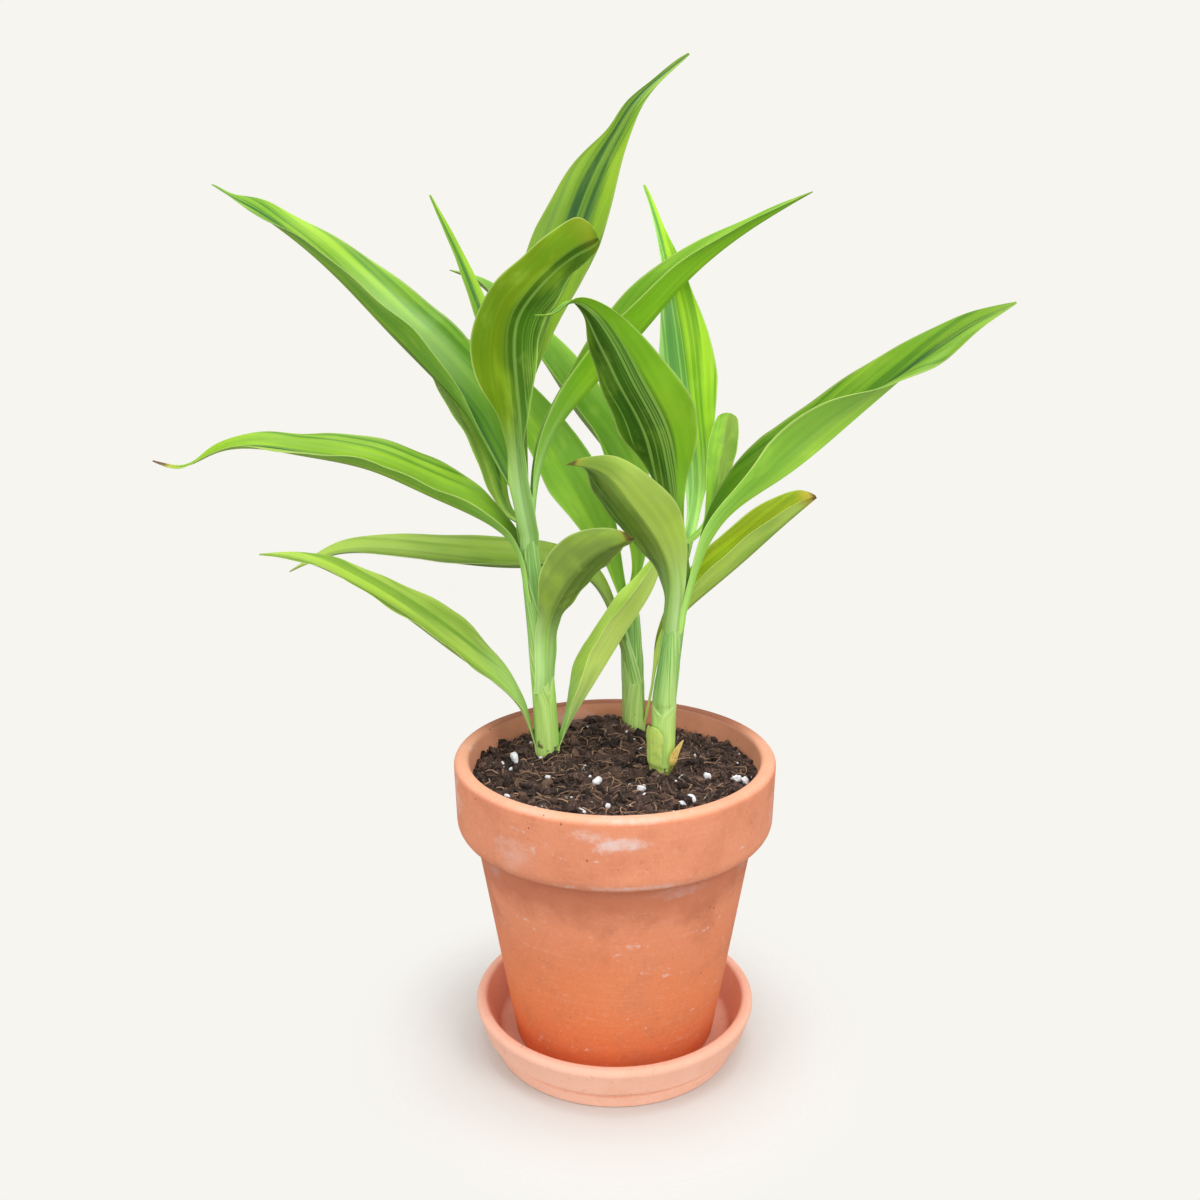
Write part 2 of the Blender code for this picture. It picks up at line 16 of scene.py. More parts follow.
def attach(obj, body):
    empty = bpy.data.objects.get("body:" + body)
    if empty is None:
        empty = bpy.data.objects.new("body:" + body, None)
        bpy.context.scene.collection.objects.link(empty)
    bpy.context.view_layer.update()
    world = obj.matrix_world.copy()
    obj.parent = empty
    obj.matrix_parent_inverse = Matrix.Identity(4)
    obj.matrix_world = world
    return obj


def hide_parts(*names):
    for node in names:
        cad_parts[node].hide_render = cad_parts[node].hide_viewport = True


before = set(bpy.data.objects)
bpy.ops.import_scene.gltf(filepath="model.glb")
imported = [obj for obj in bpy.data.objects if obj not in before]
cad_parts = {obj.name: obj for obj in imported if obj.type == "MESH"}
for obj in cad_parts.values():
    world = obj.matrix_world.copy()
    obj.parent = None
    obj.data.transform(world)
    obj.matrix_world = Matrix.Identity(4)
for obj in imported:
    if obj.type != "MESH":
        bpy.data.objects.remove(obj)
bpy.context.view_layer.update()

MM = 0.001
SEED = 11                    # the soil's lumps, as in the solids
SHARP_ANGLE = math.radians(42)
TINY = 1e-12

# Camera: the photograph's view
EYE = (0.0, -0.562, 0.3798)
PITCH = 0.2699               # radians below the horizon
YAW = 0.012
ROLL = -0.002
LENS = 38.47
SENSOR = 36.0
CLIP = (0.02, 20.0)

# Clay profiles
SAUCER_RADIUS = 69.2 * MM
SAUCER_HEIGHT = 24.8 * MM
SAUCER_BASE = 59.5 * MM
SAUCER_FLOOR = 7.2 * MM
SAUCER_INNER_BASE = 56.2 * MM
SAUCER_RIM = 6.0 * MM
SAUCER_MIDDLE = 2.0 * MM     # where the turned rings stop
FOOT_HEIGHT = 5.6 * MM
FOOT_GROOVE = 0.7 * MM
SHOULDER = (64.6 * MM, 10.6 * MM)     # radius, height
POT_BOTTOM = 7.5 * MM
POT_TOP = 150.3 * MM
POT_BASE = 48.8 * MM
COLLAR_BOTTOM = 114.0 * MM
COLLAR_RADIUS = 75.5 * MM
COLLAR_FLARE = 1.0 * MM
WALL_UNDER_COLLAR = 66.4 * MM
LIP_INNER = 68.7 * MM
POT_FLOOR = 14.5 * MM
POT_INNER_BASE = 42.6 * MM
DRAIN_RADIUS = 6.5 * MM
BEND_STEPS = 9
TURN_STEPS = 220
PROFILE_STEP = 1.6 * MM
TURN_MARKS = 6
TURN_MARK = 0.07 * MM        # depth of the marks that turning leaves in the clay
WANDER = 0.12 * MM           # how far the wall strays from round
CALM_RADIUS = 20.0 * MM      # within it, marks and straying die away towards the axis
# Lime that has bloomed on the pot: centre, reach across and up, in millimetres, and strength
BLOOMS = [
    ((2, -75, 139), 19, 6, 0.9), ((-12, -74, 143), 16, 4, 0.6), ((10, -72, 149.5), 26, 2.6, 0.7),
    ((-30, -62, 149.5), 22, 2.0, 0.4), ((-56, -34, 109), 14, 8, 1.0),
    ((28, -60, 109), 22, 4.5, 0.9), ((60, -27, 108), 12, 7, 0.8), ((5, -75, 118), 44, 2.6, 0.7),
    ((-72, -20, 138), 12, 18, 0.6), ((72, -22, 130), 9, 16, 0.4), ((-44, -60, 128), 20, 14, 0.3),
    ((30, 60, 109), 26, 7, 0.9), ((-30, 68, 143), 26, 8, 0.7), ((70, 26, 132), 18, 14, 0.6),
    ((-58, 30, 108), 20, 8, 0.8),
]

# Soil
SOIL_HEIGHT = 141.0 * MM
SOIL_SLOPE = -0.05
SOIL_LUMPS = 80
LUMP_RADIUS = (4.0 * MM, 8.0 * MM)
LUMP_HEIGHT = (-0.8 * MM, 2.2 * MM)
LUMP_SPREAD = 0.4
SOIL_REACH = 68.0 * MM
GRAINS = 2600
GRAIN_SIZE = (0.8 * MM, 2.4 * MM)
GROUND_STEP = 0.4 * MM
HEAPS = [(-4, 52, 26, 8.0), (-30, 34, 20, 1.5), (28, 48, 18, 1.0)]     # x, y, radius, rise in mm
SOIL_RINGS = 130
SOIL_STEPS = 250
CRUMBS = 2100
CRUMB_SIZE = (0.5, 1.5)      # in mm, as are the sizes below
LARGE_CRUMBS = 330
LARGE_CRUMB_SIZE = (1.6, 3.2)
FIBRES = 560
FIBRE_STEPS = 10
FIBRE_LENGTH = (3.0, 12.0)
FIBRE_RADIUS = (0.12, 0.34)
FIBRE_LIFT = 1.4
FIBRE_BEND = 2.4             # radians from end to end, at most
SCRAP = (-13.0, -63.0, 2.0)  # x, y, radius
SMALL_PERLITE = 60
# White grains that show in the photograph: x, y, radius
PERLITE = [
    (-48, 10, 3.0), (-31, -12, 1.4), (-8, -20, 2.5), (12, -27, 2.0), (31, -12, 2.0), (34, -39, 2.4),
    (30, -44, 1.6), (43, -12, 1.8), (56, -14, 2.4), (60, -17, 2.2), (63, -37, 1.9), (-43, -57, 2.4),
    (-34, -53, 1.8), (-3, -50, 1.7), (-14, -57, 1.5), (4, -67, 1.3),
]

# Canes: points of the axis as (x, y, z, radius)
STEMS = {
    "stem_left": [(-32, 22, 128, 6.0), (-34, 21, 170, 5.7), (-36, 20, 200, 5.2),
                  (-39, 19, 236, 4.4), (-41, 19, 262, 3.4), (-42, 19, 278, 1.2)],
    "stem_back": [(10, 54, 128, 6.0), (9, 53, 180, 5.6), (8, 52, 202, 4.6), (7, 52, 216, 1.4)],
    "stem_right": [(22, -2, 128, 5.8), (23, -2, 178, 5.5), (26, -2, 206, 5.0), (29, -2, 228, 4.0),
                   (31, -2, 244, 1.4)],
}
# Sheaths that clasp each cane, the outermost first: height of the top, heading, half the angle that
# it wraps at the top, and how many degrees it opens for each millimetre further down.
SHEATHS = {
    "stem_left": [(196, 120, 95, 3.6), (232, 180, 64, 2.6), (252, -78, 60, 2.6),
                  (256, 140, 60, 3.0), (262, 18, 60, 3.0)],
    "stem_back": [(168, -40, 70, 1.6), (190, 180, 64, 2.6), (207, 147, 60, 3.0)],
    "stem_right": [(176, 75, 110, 14.0), (214, -130, 66, 2.4), (222, -16, 60, 3.0),
                   (240, -110, 60, 3.0)],
}
SHEATH_STEP = 0.34 * MM
SHEATH_TOP = 1.5             # mm over which a sheath's top falls away
SHEATH_MARGIN = 4.0          # degrees over which its margin falls away
MOST_WRAP = 200.0            # degrees
RIM_PLACE = 5.0              # degrees from the margin to the middle of its pale edge
RIM_WIDTH = 4.0
CANE_FOLDS = 9
CANE_FOLD_DEPTH = 0.045 * MM
STEM_STEPS = 112
STEM_RINGS = 230

# Blades, as in the solids. Looking from the cane along the blade, left and right are its two sides:
# lean makes the left side wider than the right. Finer shape is given as pairs of (share of length,
# value): the sides' widths as factors, and how far the margins curl in degrees.
BLADE_STATIONS = 100
BLADE_STRIPS = 14            # on each side of the midrib
MIDDLE = 0.42                # share of the length where the folds called middle hold
ROLL_MIDDLE = 0.45           # and where the second of the three rolls holds
TAPER = 1.8
TIP_HALF_WIDTH = 0.6         # in mm
LEAN_START = 0.2             # share of the length from which the lean is full
RIB_THICKNESS = 0.6 * MM
MARGIN_THICKNESS = 0.26 * MM
ROUND_END = 1.0              # mm of half width, from which an end is rounded
ROUND_START = 0.955
ROUND_LENGTH = 0.047
BLUNT_END = 4.0              # mm of half width, from which only the very end turns brown
MARGIN_WAVES = (2.2, 3.4)    # waves along the blade
RIPPLES = 2.3                # finer waves to each of them
FOLDS = 3.5                  # folds across each side
FOLD_DEPTH = 0.012           # share of the half width
BROAD_BLADE = 16.0           # mm of half width, below which the folds grow faint
KEEL_HEIGHT = 0.028          # share of the half width, as is the keel's width
KEEL_WIDTH = 0.07
SEAT_GAP = 0.05 * MM         # between a blade's base and its cane
SETTLE_LENGTH = 0.16         # share of the length that leans in to the cane
SUNK_ROWS = 8                # rows of points below the base, inside the cane's sheath
SUNK_STEP = 1.3 * MM
SUNK_LEAN = 1.6 * MM
LEAVES = {
    "leaf_left_low": dict(
        heading=184, half=16, lean=-0.16, base=2.6, wrap=24, start=0, widest=0.42, taper=1.5,
        roll=(0, -12, -10), middle=(38, 20), tip=(20, 20),
        right=[(0, 1), (0.15, 1.15), (0.3, 1.12), (0.5, 1), (0.75, 0.95), (1, 1)],
        path=[(-39.5, 21.2, 145), (-46, 18.5, 166), (-57, 16, 179), (-77, 13, 196), (-100, 9, 216),
              (-126, 5, 234), (-143, 3, 242), (-161, 1, 245)]),
    "leaf_left_high": dict(
        heading=155, half=21.5, lean=-0.18, base=6, wrap=50, start=0, widest=0.4, roll=(0, 4, -8),
        middle=(62, 35), tip=(35, 20),
        left=[(0, 1), (0.3, 1), (0.6, 1), (0.75, 1), (0.85, 1), (0.92, 0.85), (0.965, 0.4),
              (1, 0.9)],
        right=[(0, 1), (0.15, 1.12), (0.4, 1.05), (0.6, 0.92), (0.75, 0.86), (0.85, 0.85),
               (0.92, 0.75), (0.965, 0.4), (1, 0.9)],
        left_curl=[(0, 0), (0.7, 0), (0.8, -25), (0.9, -60), (1, -30)],
        path=[(-44.6, 20.6, 267), (-54, 31, 280), (-68, 38, 302), (-85, 45, 320), (-106, 53, 340),
              (-130, 61, 364), (-154, 68, 384), (-193, 80, 408)]),
    "leaf_left_middle": dict(
        heading=180, half=18, base=6, wrap=50, start=0.07, widest=0.38, roll=(0, -12, -16),
        middle=(50, 25), tip=(20, 10),
        left=[(0, 1), (0.14, 1.3), (0.3, 1.15), (0.45, 1), (0.7, 1), (0.8, 0.8), (0.9, 0.45),
              (1, 0.8)],
        right=[(0, 1), (0.14, 1.45), (0.25, 1.3), (0.45, 1), (0.7, 0.9), (0.8, 0.75), (0.9, 0.45),
               (1, 0.8)],
        path=[(-44, 19, 229), (-46, 19, 242), (-62, 11, 260), (-84, 9, 271), (-110, 7, 283),
              (-141, 5, 290), (-178, 2, 291), (-194, 1, 285), (-205, 0, 288)]),
    "leaf_left_front_low": dict(
        heading=-50, half=15.8, base=6.5, wrap=48, start=0.22, widest=0.6, taper=2.2, end=2.5,
        roll=(0, -25, -40), middle=(20, 40), tip=(20, 60),
        left=[(0, 1), (0.3, 1.1), (0.5, 1.05), (0.7, 1), (1, 1)],
        right=[(0, 1), (0.6, 1), (0.8, 0.88), (1, 0.9)],
        path=[(-31, 15, 184), (-31, 14, 200), (-26, 2, 221), (-18, -10, 237), (-6, -28, 253),
              (7, -44, 263)]),
    "leaf_left_long_right": dict(
        heading=12, half=15.5, base=4.5, wrap=45, start=0, widest=0.42, roll=(0, -6, 0),
        middle=(72, 50), tip=(35, 20),
        left=[(0, 1), (0.35, 1), (0.52, 1.3), (0.68, 1.3), (0.85, 1.1), (1, 1)],
        path=[(-36, 21, 258), (-35, 22, 276), (-27, 21, 298), (-12, 20, 317), (11, 19, 341.5),
              (30, 20, 363), (57, 22, 385), (86, 25, 402)]),
    "leaf_left_tall": dict(
        heading=72, half=18, base=3.0, wrap=50, start=0.12, widest=0.52, taper=1.1, roll=(0, 0, 25),
        middle=(12, 12), tip=(20, 20),
        left=[(0, 1), (0.35, 1), (0.5, 0.84), (0.6, 0.74), (0.66, 0.68), (0.71, 0.5), (0.76, 0.32),
              (0.82, 0.36), (0.9, 0.22), (1, 1)],
        right=[(0, 1), (0.5, 1.04), (0.6, 1.12), (0.7, 1.02), (0.8, 0.76), (0.9, 0.7), (1, 1)],
        path=[(-42, 23, 275), (-42, 32, 311), (-35, 40, 347), (-21.2, 49, 387), (-13.9, 53, 406),
              (-6.1, 57, 421), (0.8, 60, 432), (7.1, 63, 441.5), (20.9, 71, 455), (34, 77, 465)]),
    "leaf_left_front": dict(
        heading=-80, half=15.7, lean=-0.11, base=5, wrap=45, start=0.27, widest=0.58, taper=2,
        end=5, roll=(0, -10, -30), middle=(15, 25), tip=(20, 40),
        right=[(0, 1), (0.4, 1), (0.54, 1.15), (0.63, 0.97), (0.75, 0.77), (0.88, 0.95), (1, 1.7)],
        left=[(0, 1), (0.5, 1), (0.8, 1), (0.9, 1.05), (1, 1.5)],
        path=[(-39, 14, 250), (-43, 9, 278), (-45.5, 6, 316), (-46.4, 2, 338), (-44.5, -2, 349),
              (-38.5, -7, 359), (-30, -11, 368), (-21.5, -15, 375), (-13.6, -18, 380),
              (-7, -20, 382.6)]),
    "leaf_left_narrow": dict(
        heading=130, half=5.5, base=1.6, wrap=30, start=0, widest=0.42, taper=1.4, roll=(60, 0, 0),
        middle=(15, 15), tip=(15, 15),
        path=[(-44.4, 18.5, 273), (-46.5, 19.5, 288), (-54, 27, 326), (-63, 37, 355),
              (-73, 45, 378), (-85, 53, 402)]),
    "leaf_left_under": dict(
        heading=150, half=14, base=4, wrap=50, start=0.05, widest=0.45, roll=(0, 5, 0),
        middle=(30, 10), tip=(20, 10),
        path=[(-44, 22.2, 255), (-52, 32, 258.2), (-62, 40, 280), (-73, 48, 301), (-85, 57, 319),
              (-99, 66, 337)]),
    "leaf_left_foot": dict(
        heading=12, half=15, lean=0.14, base=2.6, wrap=24, start=0, widest=0.48, taper=2.4,
        roll=(0, -15, -10), middle=(60, 40), tip=(50, 30),
        left=[(0, 1.5), (0.12, 1.6), (0.25, 1.4), (0.4, 1.05), (0.6, 1), (1, 1)],
        right=[(0, 1.5), (0.12, 1.4), (0.25, 1.25), (0.4, 1), (0.6, 1), (1, 1)],
        path=[(-26.1, 23, 145), (-21.5, 21, 157), (-15, 18, 170), (-5, 19, 187), (8, 21, 208),
              (17, 24, 222), (24, 30, 238), (28, 33, 246)]),
    "leaf_back_left_low": dict(
        heading=180, half=16, lean=-0.12, base=6, wrap=48, start=0, widest=0.5, roll=(0, -12, -10),
        middle=(40, 20), tip=(25, 10),
        path=[(2, 53, 184), (0, 52, 194), (-17, 42, 226), (-48, 39, 230), (-79, 37, 233),
              (-108, 35, 237), (-131, 33, 238), (-155, 29, 230)]),
    "leaf_back_high": dict(
        heading=160, half=19, base=1.8, wrap=35, start=0, widest=0.45, roll=(-65, -14, 0),
        middle=(50, 30), tip=(30, 20),
        path=[(7.0, 55.3, 212), (10.5, 59, 223), (9, 66, 248), (-3, 72, 279), (-20, 77, 301),
              (-35, 81, 324), (-52, 85, 345), (-67, 89, 361), (-82, 93, 368)]),
    "leaf_back_broad": dict(
        heading=150, half=15, base=4, wrap=45, start=0, widest=0.45, roll=(0, -35, -15),
        middle=(15, 25), tip=(15, 15),
        path=[(4.0, 54.4, 206), (-1, 58, 224), (-11, 56, 249), (-27, 58, 278), (-42, 62, 301),
              (-58, 66, 322), (-72, 71, 336)]),
    "leaf_back_right": dict(
        heading=-12, half=18, lean=0.24, base=2.6, wrap=24, start=0.15, widest=0.66, taper=3,
        end=6.5, roll=(0, 2, 0), middle=(56, 36), tip=(35, 25),
        path=[(16.4, 52.2, 145), (18.8, 50, 163), (23, 47, 186), (31, 45, 202), (43, 43, 215),
              (61, 40, 232), (78, 37, 249), (95, 34, 265)]),
    "leaf_right_long": dict(
        heading=-14, half=21, base=5, wrap=48, start=0.07, widest=0.42, roll=(0, 8, 40),
        middle=(64, 55), tip=(12, 10),
        right=[(0, 1), (0.15, 0.8), (0.3, 0.55), (0.4, 0.8), (0.5, 1.12), (0.6, 1.3), (0.68, 1.15),
               (0.8, 1.45), (0.9, 1.1), (1, 1)],
        right_curl=[(0, 0), (0.62, 0), (0.74, -40), (0.84, -80), (0.93, -50), (1, 0)],
        path=[(33, -4, 218), (36, -4, 234), (49, -8, 264), (72, -13, 283), (98, -17, 306),
              (124, -20, 330), (143, -23, 346), (163, -26, 357)]),
    "leaf_right_front_high": dict(
        heading=-120, half=18.5, base=4, wrap=50, start=0.15, widest=0.48, taper=1.4,
        roll=(0, 15, 25), middle=(12, 20), tip=(20, 40),
        left=[(0, 1), (0.3, 0.86), (0.5, 0.98), (0.62, 0.95), (0.78, 0.8), (0.88, 0.5), (0.94, 0.3),
              (1, 0.6)],
        right=[(0, 1), (0.2, 1.14), (0.4, 1.14), (0.58, 1.16), (0.72, 1.05), (0.86, 0.6),
               (0.94, 0.35), (1, 0.6)],
        path=[(29.4, -4.9, 240), (24.7, -13, 277.4), (22.7, -16, 289), (19.5, -20, 302),
              (14.6, -24, 313), (7.8, -29, 325.5), (2.8, -33, 335.6), (-3.7, -38, 347),
              (-10, -42, 354.7), (-17, -45, 358), (-24.8, -48, 353.6), (-31.5, -49, 353.4)]),
    "leaf_right_tall": dict(
        heading=88, half=13.5, base=3.0, wrap=50, start=0.05, widest=0.48, taper=0.95,
        roll=(0, 0, 0), middle=(12, 12), tip=(20, 20),
        left=[(0, 1), (0.6, 1), (0.7, 0.85), (0.8, 0.5), (0.9, 0.7), (1, 1)],
        right=[(0, 0.9), (0.1, 0.7), (0.2, 0.65), (0.3, 0.77), (0.45, 1), (0.6, 1.2), (0.72, 1.1),
               (0.82, 1), (0.9, 0.55), (1, 1)],
        path=[(30.7, 0.6, 243), (38, 18, 272), (36, 25, 298), (33, 30, 320), (29, 33, 347),
              (23, 39, 375), (18, 43, 394), (13, 47, 406)]),
    "leaf_right_small": dict(
        heading=75, half=6.5, base=2.0, wrap=60, start=0.1, widest=0.65, end=4, roll=(0, 0, 0),
        middle=(20, 30), tip=(10, 10),
        path=[(40.4, 8, 251), (43.4, 11, 263), (47.3, 14, 282), (51.2, 17, 307)]),
    "leaf_right_front_low": dict(
        heading=-130, half=16.8, lean=-0.08, base=5.6, wrap=56, start=0.1, widest=0.5, end=1.5,
        roll=(0, 30, 35), middle=(15, 30), tip=(20, 50),
        left=[(0, 1), (0.12, 0.92), (0.25, 0.85), (0.45, 0.96), (0.7, 0.92), (1, 0.8)],
        path=[(22.7, -6.9, 212), (25, -12, 239), (17, -21, 260), (6, -33, 277), (-5, -45, 291),
              (-19, -58, 296)]),
    "sheath_cut": dict(
        heading=-135, half=5.5, base=5, wrap=48, start=0, widest=0.5, taper=3, end=2.5,
        roll=(0, 0, 0), middle=(5, 45), tip=(5, 45),
        path=[(17.0, -7.0, 145), (17.0, -7.3, 155), (16.6, -7.9, 166)]),
    "sheath_dry": dict(
        heading=-40, half=3.6, base=2.2, wrap=20, start=0, widest=0.35, roll=(0, 0, 0),
        middle=(30, 30), tip=(20, 20),
        path=[(27.2, -6.2, 145), (28.9, -8.0, 151), (31.5, -10.0, 160)]),
}

# Tones of the leaf skin
TONES = {
    "lime": "93C02E", "grass": "78AC22", "leaf": "6F9C30", "olive": "627F0C", "gold": "829206",
    "moss": "4C7010", "sage": "789040", "bottle": "345A14", "pine": "4A8038", "mint": "8CBC66",
    "pale": "A4C054", "straw": "B2C866", "shade": "5A7030", "teal": "3A6E34", "jade": "739C3A",
}

# How each blade is marked. Upper face and underside: the tones of its left side, its band and its
# right side, and how light the skin is, a factor for each face that is partly the skin's own
# lightness and partly painted light and shade. The band: its centre and spread, as shares of the
# half width, and its strength. Then how strong the band's pale threads and the stripes beside it
# are, how pale the blade's foot and how dry its tip is, its margins' waves in mm, and the painted
# base shade, how dark the upper face is painted towards the cane. The painted sheen is a painted
# highlight, a pale gleam: its place along, as a share of the length, its place across, as a share
# of the half width, and its strength.
USUAL_MARKS = dict(thread=0.1, stripe=0.3, foot=0.2, dry=0.1, wave=0.5, painted_base_shade=0.0)
MARKS = {
    "leaf_left_low": dict(
        top=("sage", "sage", "pale", 1.2), below=("pale", "sage", "pale", 1.3),
        band=(0.2, 0.3, 0.7), thread=0.2, stripe=0.5, foot=0.9, wave=0.7),
    "leaf_left_high": dict(
        top=("leaf", "teal", "grass", 0.82), below=("leaf", "shade", "leaf", 1.2),
        band=(-0.05, 0.18, 1.0), thread=0.2, stripe=0.8, foot=0.3, wave=0.7, painted_base_shade=0.5,
        painted_sheen=(0.45, -0.4, 0.42)),
    "leaf_left_middle": dict(
        top=("pale", "teal", "lime", 0.76), below=("leaf", "sage", "leaf", 1.6),
        band=(0.05, 0.2, 1.0), stripe=0.75, foot=0.4, dry=1.0, wave=0.7, painted_base_shade=0.25),
    "leaf_left_front_low": dict(
        top=("sage", "shade", "sage", 1.2), below=("sage", "shade", "sage", 1.4),
        band=(0.35, 0.5, 0.8), thread=0.2, stripe=0.2, foot=0.9, dry=0.9, wave=0.6),
    "leaf_left_long_right": dict(
        top=("grass", "leaf", "grass", 0.8), below=("leaf", "moss", "grass", 1.3),
        band=(0.1, 0.2, 0.4), foot=0.7, dry=0.2),
    "leaf_left_tall": dict(
        top=("lime", "teal", "lime", 0.6), below=("leaf", "moss", "leaf", 1.2),
        band=(-0.15, 0.4, 1.0), thread=0.2, stripe=0.7, foot=0.3, painted_sheen=(0.56, 0.66, 0.12)),
    "leaf_left_front": dict(
        top=("grass", "pine", "grass", 1.0), below=("leaf", "bottle", "olive", 1.25),
        band=(0.4, 0.56, 0.85), thread=0.4, stripe=0.2, foot=1.0, dry=0.2, wave=0.9),
    "leaf_left_narrow": dict(
        top=("leaf", "teal", "lime", 0.87), below=("leaf", "moss", "leaf", 1.2),
        band=(0.1, 0.34, 0.9), foot=0.4, wave=0.2),
    "leaf_left_under": dict(
        top=("pale", "leaf", "bottle", 1.4), below=("leaf", "moss", "leaf", 1.3),
        band=(-0.3, 0.2, 0.5), thread=0.3, stripe=0.1, foot=0.1, wave=0.4),
    "leaf_left_foot": dict(
        top=("pale", "sage", "pale", 1.25), below=("sage", "pale", "straw", 1.4),
        band=(0.15, 0.2, 0.4), stripe=0.2, foot=0.8, dry=0.2, wave=0.4),
    "leaf_back_left_low": dict(
        top=("sage", "sage", "pale", 0.95), below=("sage", "shade", "sage", 1.3),
        band=(0.0, 0.25, 0.6), dry=0.3),
    "leaf_back_high": dict(
        top=("leaf", "leaf", "grass", 1.15), below=("sage", "shade", "shade", 1.3),
        band=(-0.8, 0.3, 0.9), foot=0.0, wave=0.7),
    "leaf_back_broad": dict(
        top=("leaf", "leaf", "leaf", 1.25), below=("leaf", "moss", "leaf", 1.2),
        band=(0.0, 0.3, 0.2), thread=0.0, stripe=0.1, foot=0.0, wave=0.6),
    "leaf_back_right": dict(
        top=("gold", "olive", "gold", 1.2), below=("sage", "sage", "pale", 1.45),
        band=(-0.1, 0.14, 0.3), dry=1.0, wave=0.4),
    "leaf_right_long": dict(
        top=("grass", "teal", "grass", 0.68), below=("mint", "jade", "jade", 1.84),
        band=(-0.1, 0.32, 1.0), thread=0.5, stripe=0.65, foot=0.4, painted_base_shade=0.6),
    "leaf_right_front_high": dict(
        top=("grass", "pine", "grass", 1.0), below=("grass", "bottle", "moss", 1.05),
        band=(-0.28, 0.62, 0.95), thread=0.55, stripe=0.2, foot=0.5, wave=1.0, painted_base_shade=0.3),
    "leaf_right_tall": dict(
        top=("mint", "pine", "lime", 1.42), below=("leaf", "moss", "leaf", 1.2),
        band=(0.35, 0.45, 0.9), thread=0.4, stripe=0.6, foot=0.8),
    "leaf_right_small": dict(
        top=("leaf", "leaf", "sage", 1.62), below=("leaf", "moss", "leaf", 1.2),
        band=(0.4, 0.3, 0.7), stripe=0.2, foot=0.1, wave=0.2),
    "leaf_right_front_low": dict(
        top=("pale", "sage", "leaf", 1.0), below=("pale", "bottle", "shade", 1.05),
        band=(-0.55, 0.45, 0.6), thread=0.6, stripe=0.2, foot=1.0, dry=0.8, wave=0.9),
    "sheath_cut": dict(
        top=("straw", "pale", "straw", 1.2), below=("straw", "pale", "straw", 1.2),
        band=(-0.2, 0.2, 0.3), foot=0.1, dry=0.2, wave=0.1),
    "sheath_dry": dict(wave=0.1),
}
SEED_STEP = 3.7              # from one blade's pattern to the next

# Studio
FLOOR_RADIUS = 0.6
FLOOR_COLOUR = (0.665, 0.66, 0.64, 1.0)
FLOOR_FADE = (0.066, 0.14)   # from the object's foot outwards, in metres
BACKDROP = "F7F5F0"
GLOW = [(0.0, 0.38), (0.5, 0.62), (1.0, 0.85)]        # light from below, from the sides, from above
# Softboxes: name, place, size in metres, watts
LIGHTS = [
    ("overhead", (0.05, 0.05, 1.35), 0.9, 11.0),
    ("key", (0.75, -0.8, 0.95), 0.6, 5.6),
    ("fill", (-0.85, -0.6, 0.75), 0.7, 2.8),
    ("front", (0.0, -1.3, 0.5), 0.8, 4.0),
]
LIGHT_AIM = (0.0, 0.0, 0.2)


def tone(code):
    """Linear colour from a six-digit code of the colour as seen."""
    parts = [int(code[i:i + 2], 16) / 255.0 for i in (0, 2, 4)]
    return (*[c / 12.92 if c <= 0.04045 else ((c + 0.055) / 1.055) ** 2.4 for c in parts], 1.0)


class Socket:
    """One output of a shader node. Arithmetic on it adds the Math nodes that it needs."""

    def __init__(self, finish, output):
        self.finish = finish
        self.output = output

    def maths(self, operation, *values):
        return self.finish.node("ShaderNodeMath", {"operation": operation}, dict(enumerate(values)))

    def __add__(self, other):
        return self.maths("ADD", self, other)

    def __radd__(self, other):
        return self.maths("ADD", other, self)

    def __sub__(self, other):
        return self.maths("SUBTRACT", self, other)

    def __rsub__(self, other):
        return self.maths("SUBTRACT", other, self)

    def __mul__(self, other):
        return self.maths("MULTIPLY", self, other)

    def __rmul__(self, other):
        return self.maths("MULTIPLY", other, self)

    def __abs__(self):
        return self.maths("ABSOLUTE", self)

    def fade(self, low, high):
        """0 up to low, 1 from high on, smooth between."""
        sockets = {"Value": self, "From Min": low, "From Max": high}
        settings = {"interpolation_type": "SMOOTHSTEP"}
        return self.finish.node("ShaderNodeMapRange", settings, sockets)

    def fall(self, low, high):
        """1 up to low, 0 from high on, smooth between."""
        return 1.0 - self.fade(low, high)

    def grain(self, scale, detail=2.0, roughness=0.5):
        """Noise over a vector."""
        sockets = {"Vector": self, "Scale": scale, "Detail": detail, "Roughness": roughness}
        return self.finish.node("ShaderNodeTexNoise", {}, sockets)

    def dots(self, scale, size):
        """Round dots over a vector, in the middle of some cells; size is their share of a cell."""
        cells = self.finish.node("ShaderNodeTexVoronoi", {}, {"Vector": self, "Scale": scale})
        return cells.fall(0.06, size)

    def parts(self):
        """The three parts of a vector."""
        split = self.finish.node("ShaderNodeSeparateXYZ", {}, {0: self})
        return [Socket(self.finish, output) for output in split.output.node.outputs]

    def vector_maths(self, operation, sockets, output=0):
        settings = {"operation": operation}
        return self.finish.node("ShaderNodeVectorMath", settings, {0: self, **sockets}, output)

    def scaled(self, factors):
        return self.vector_maths("MULTIPLY", {1: factors})

    def scaled_by(self, share):
        """A colour made darker or lighter."""
        return self.vector_maths("SCALE", {"Scale": share})

    def distance(self, point):
        return self.vector_maths("DISTANCE", {1: point}, 1)


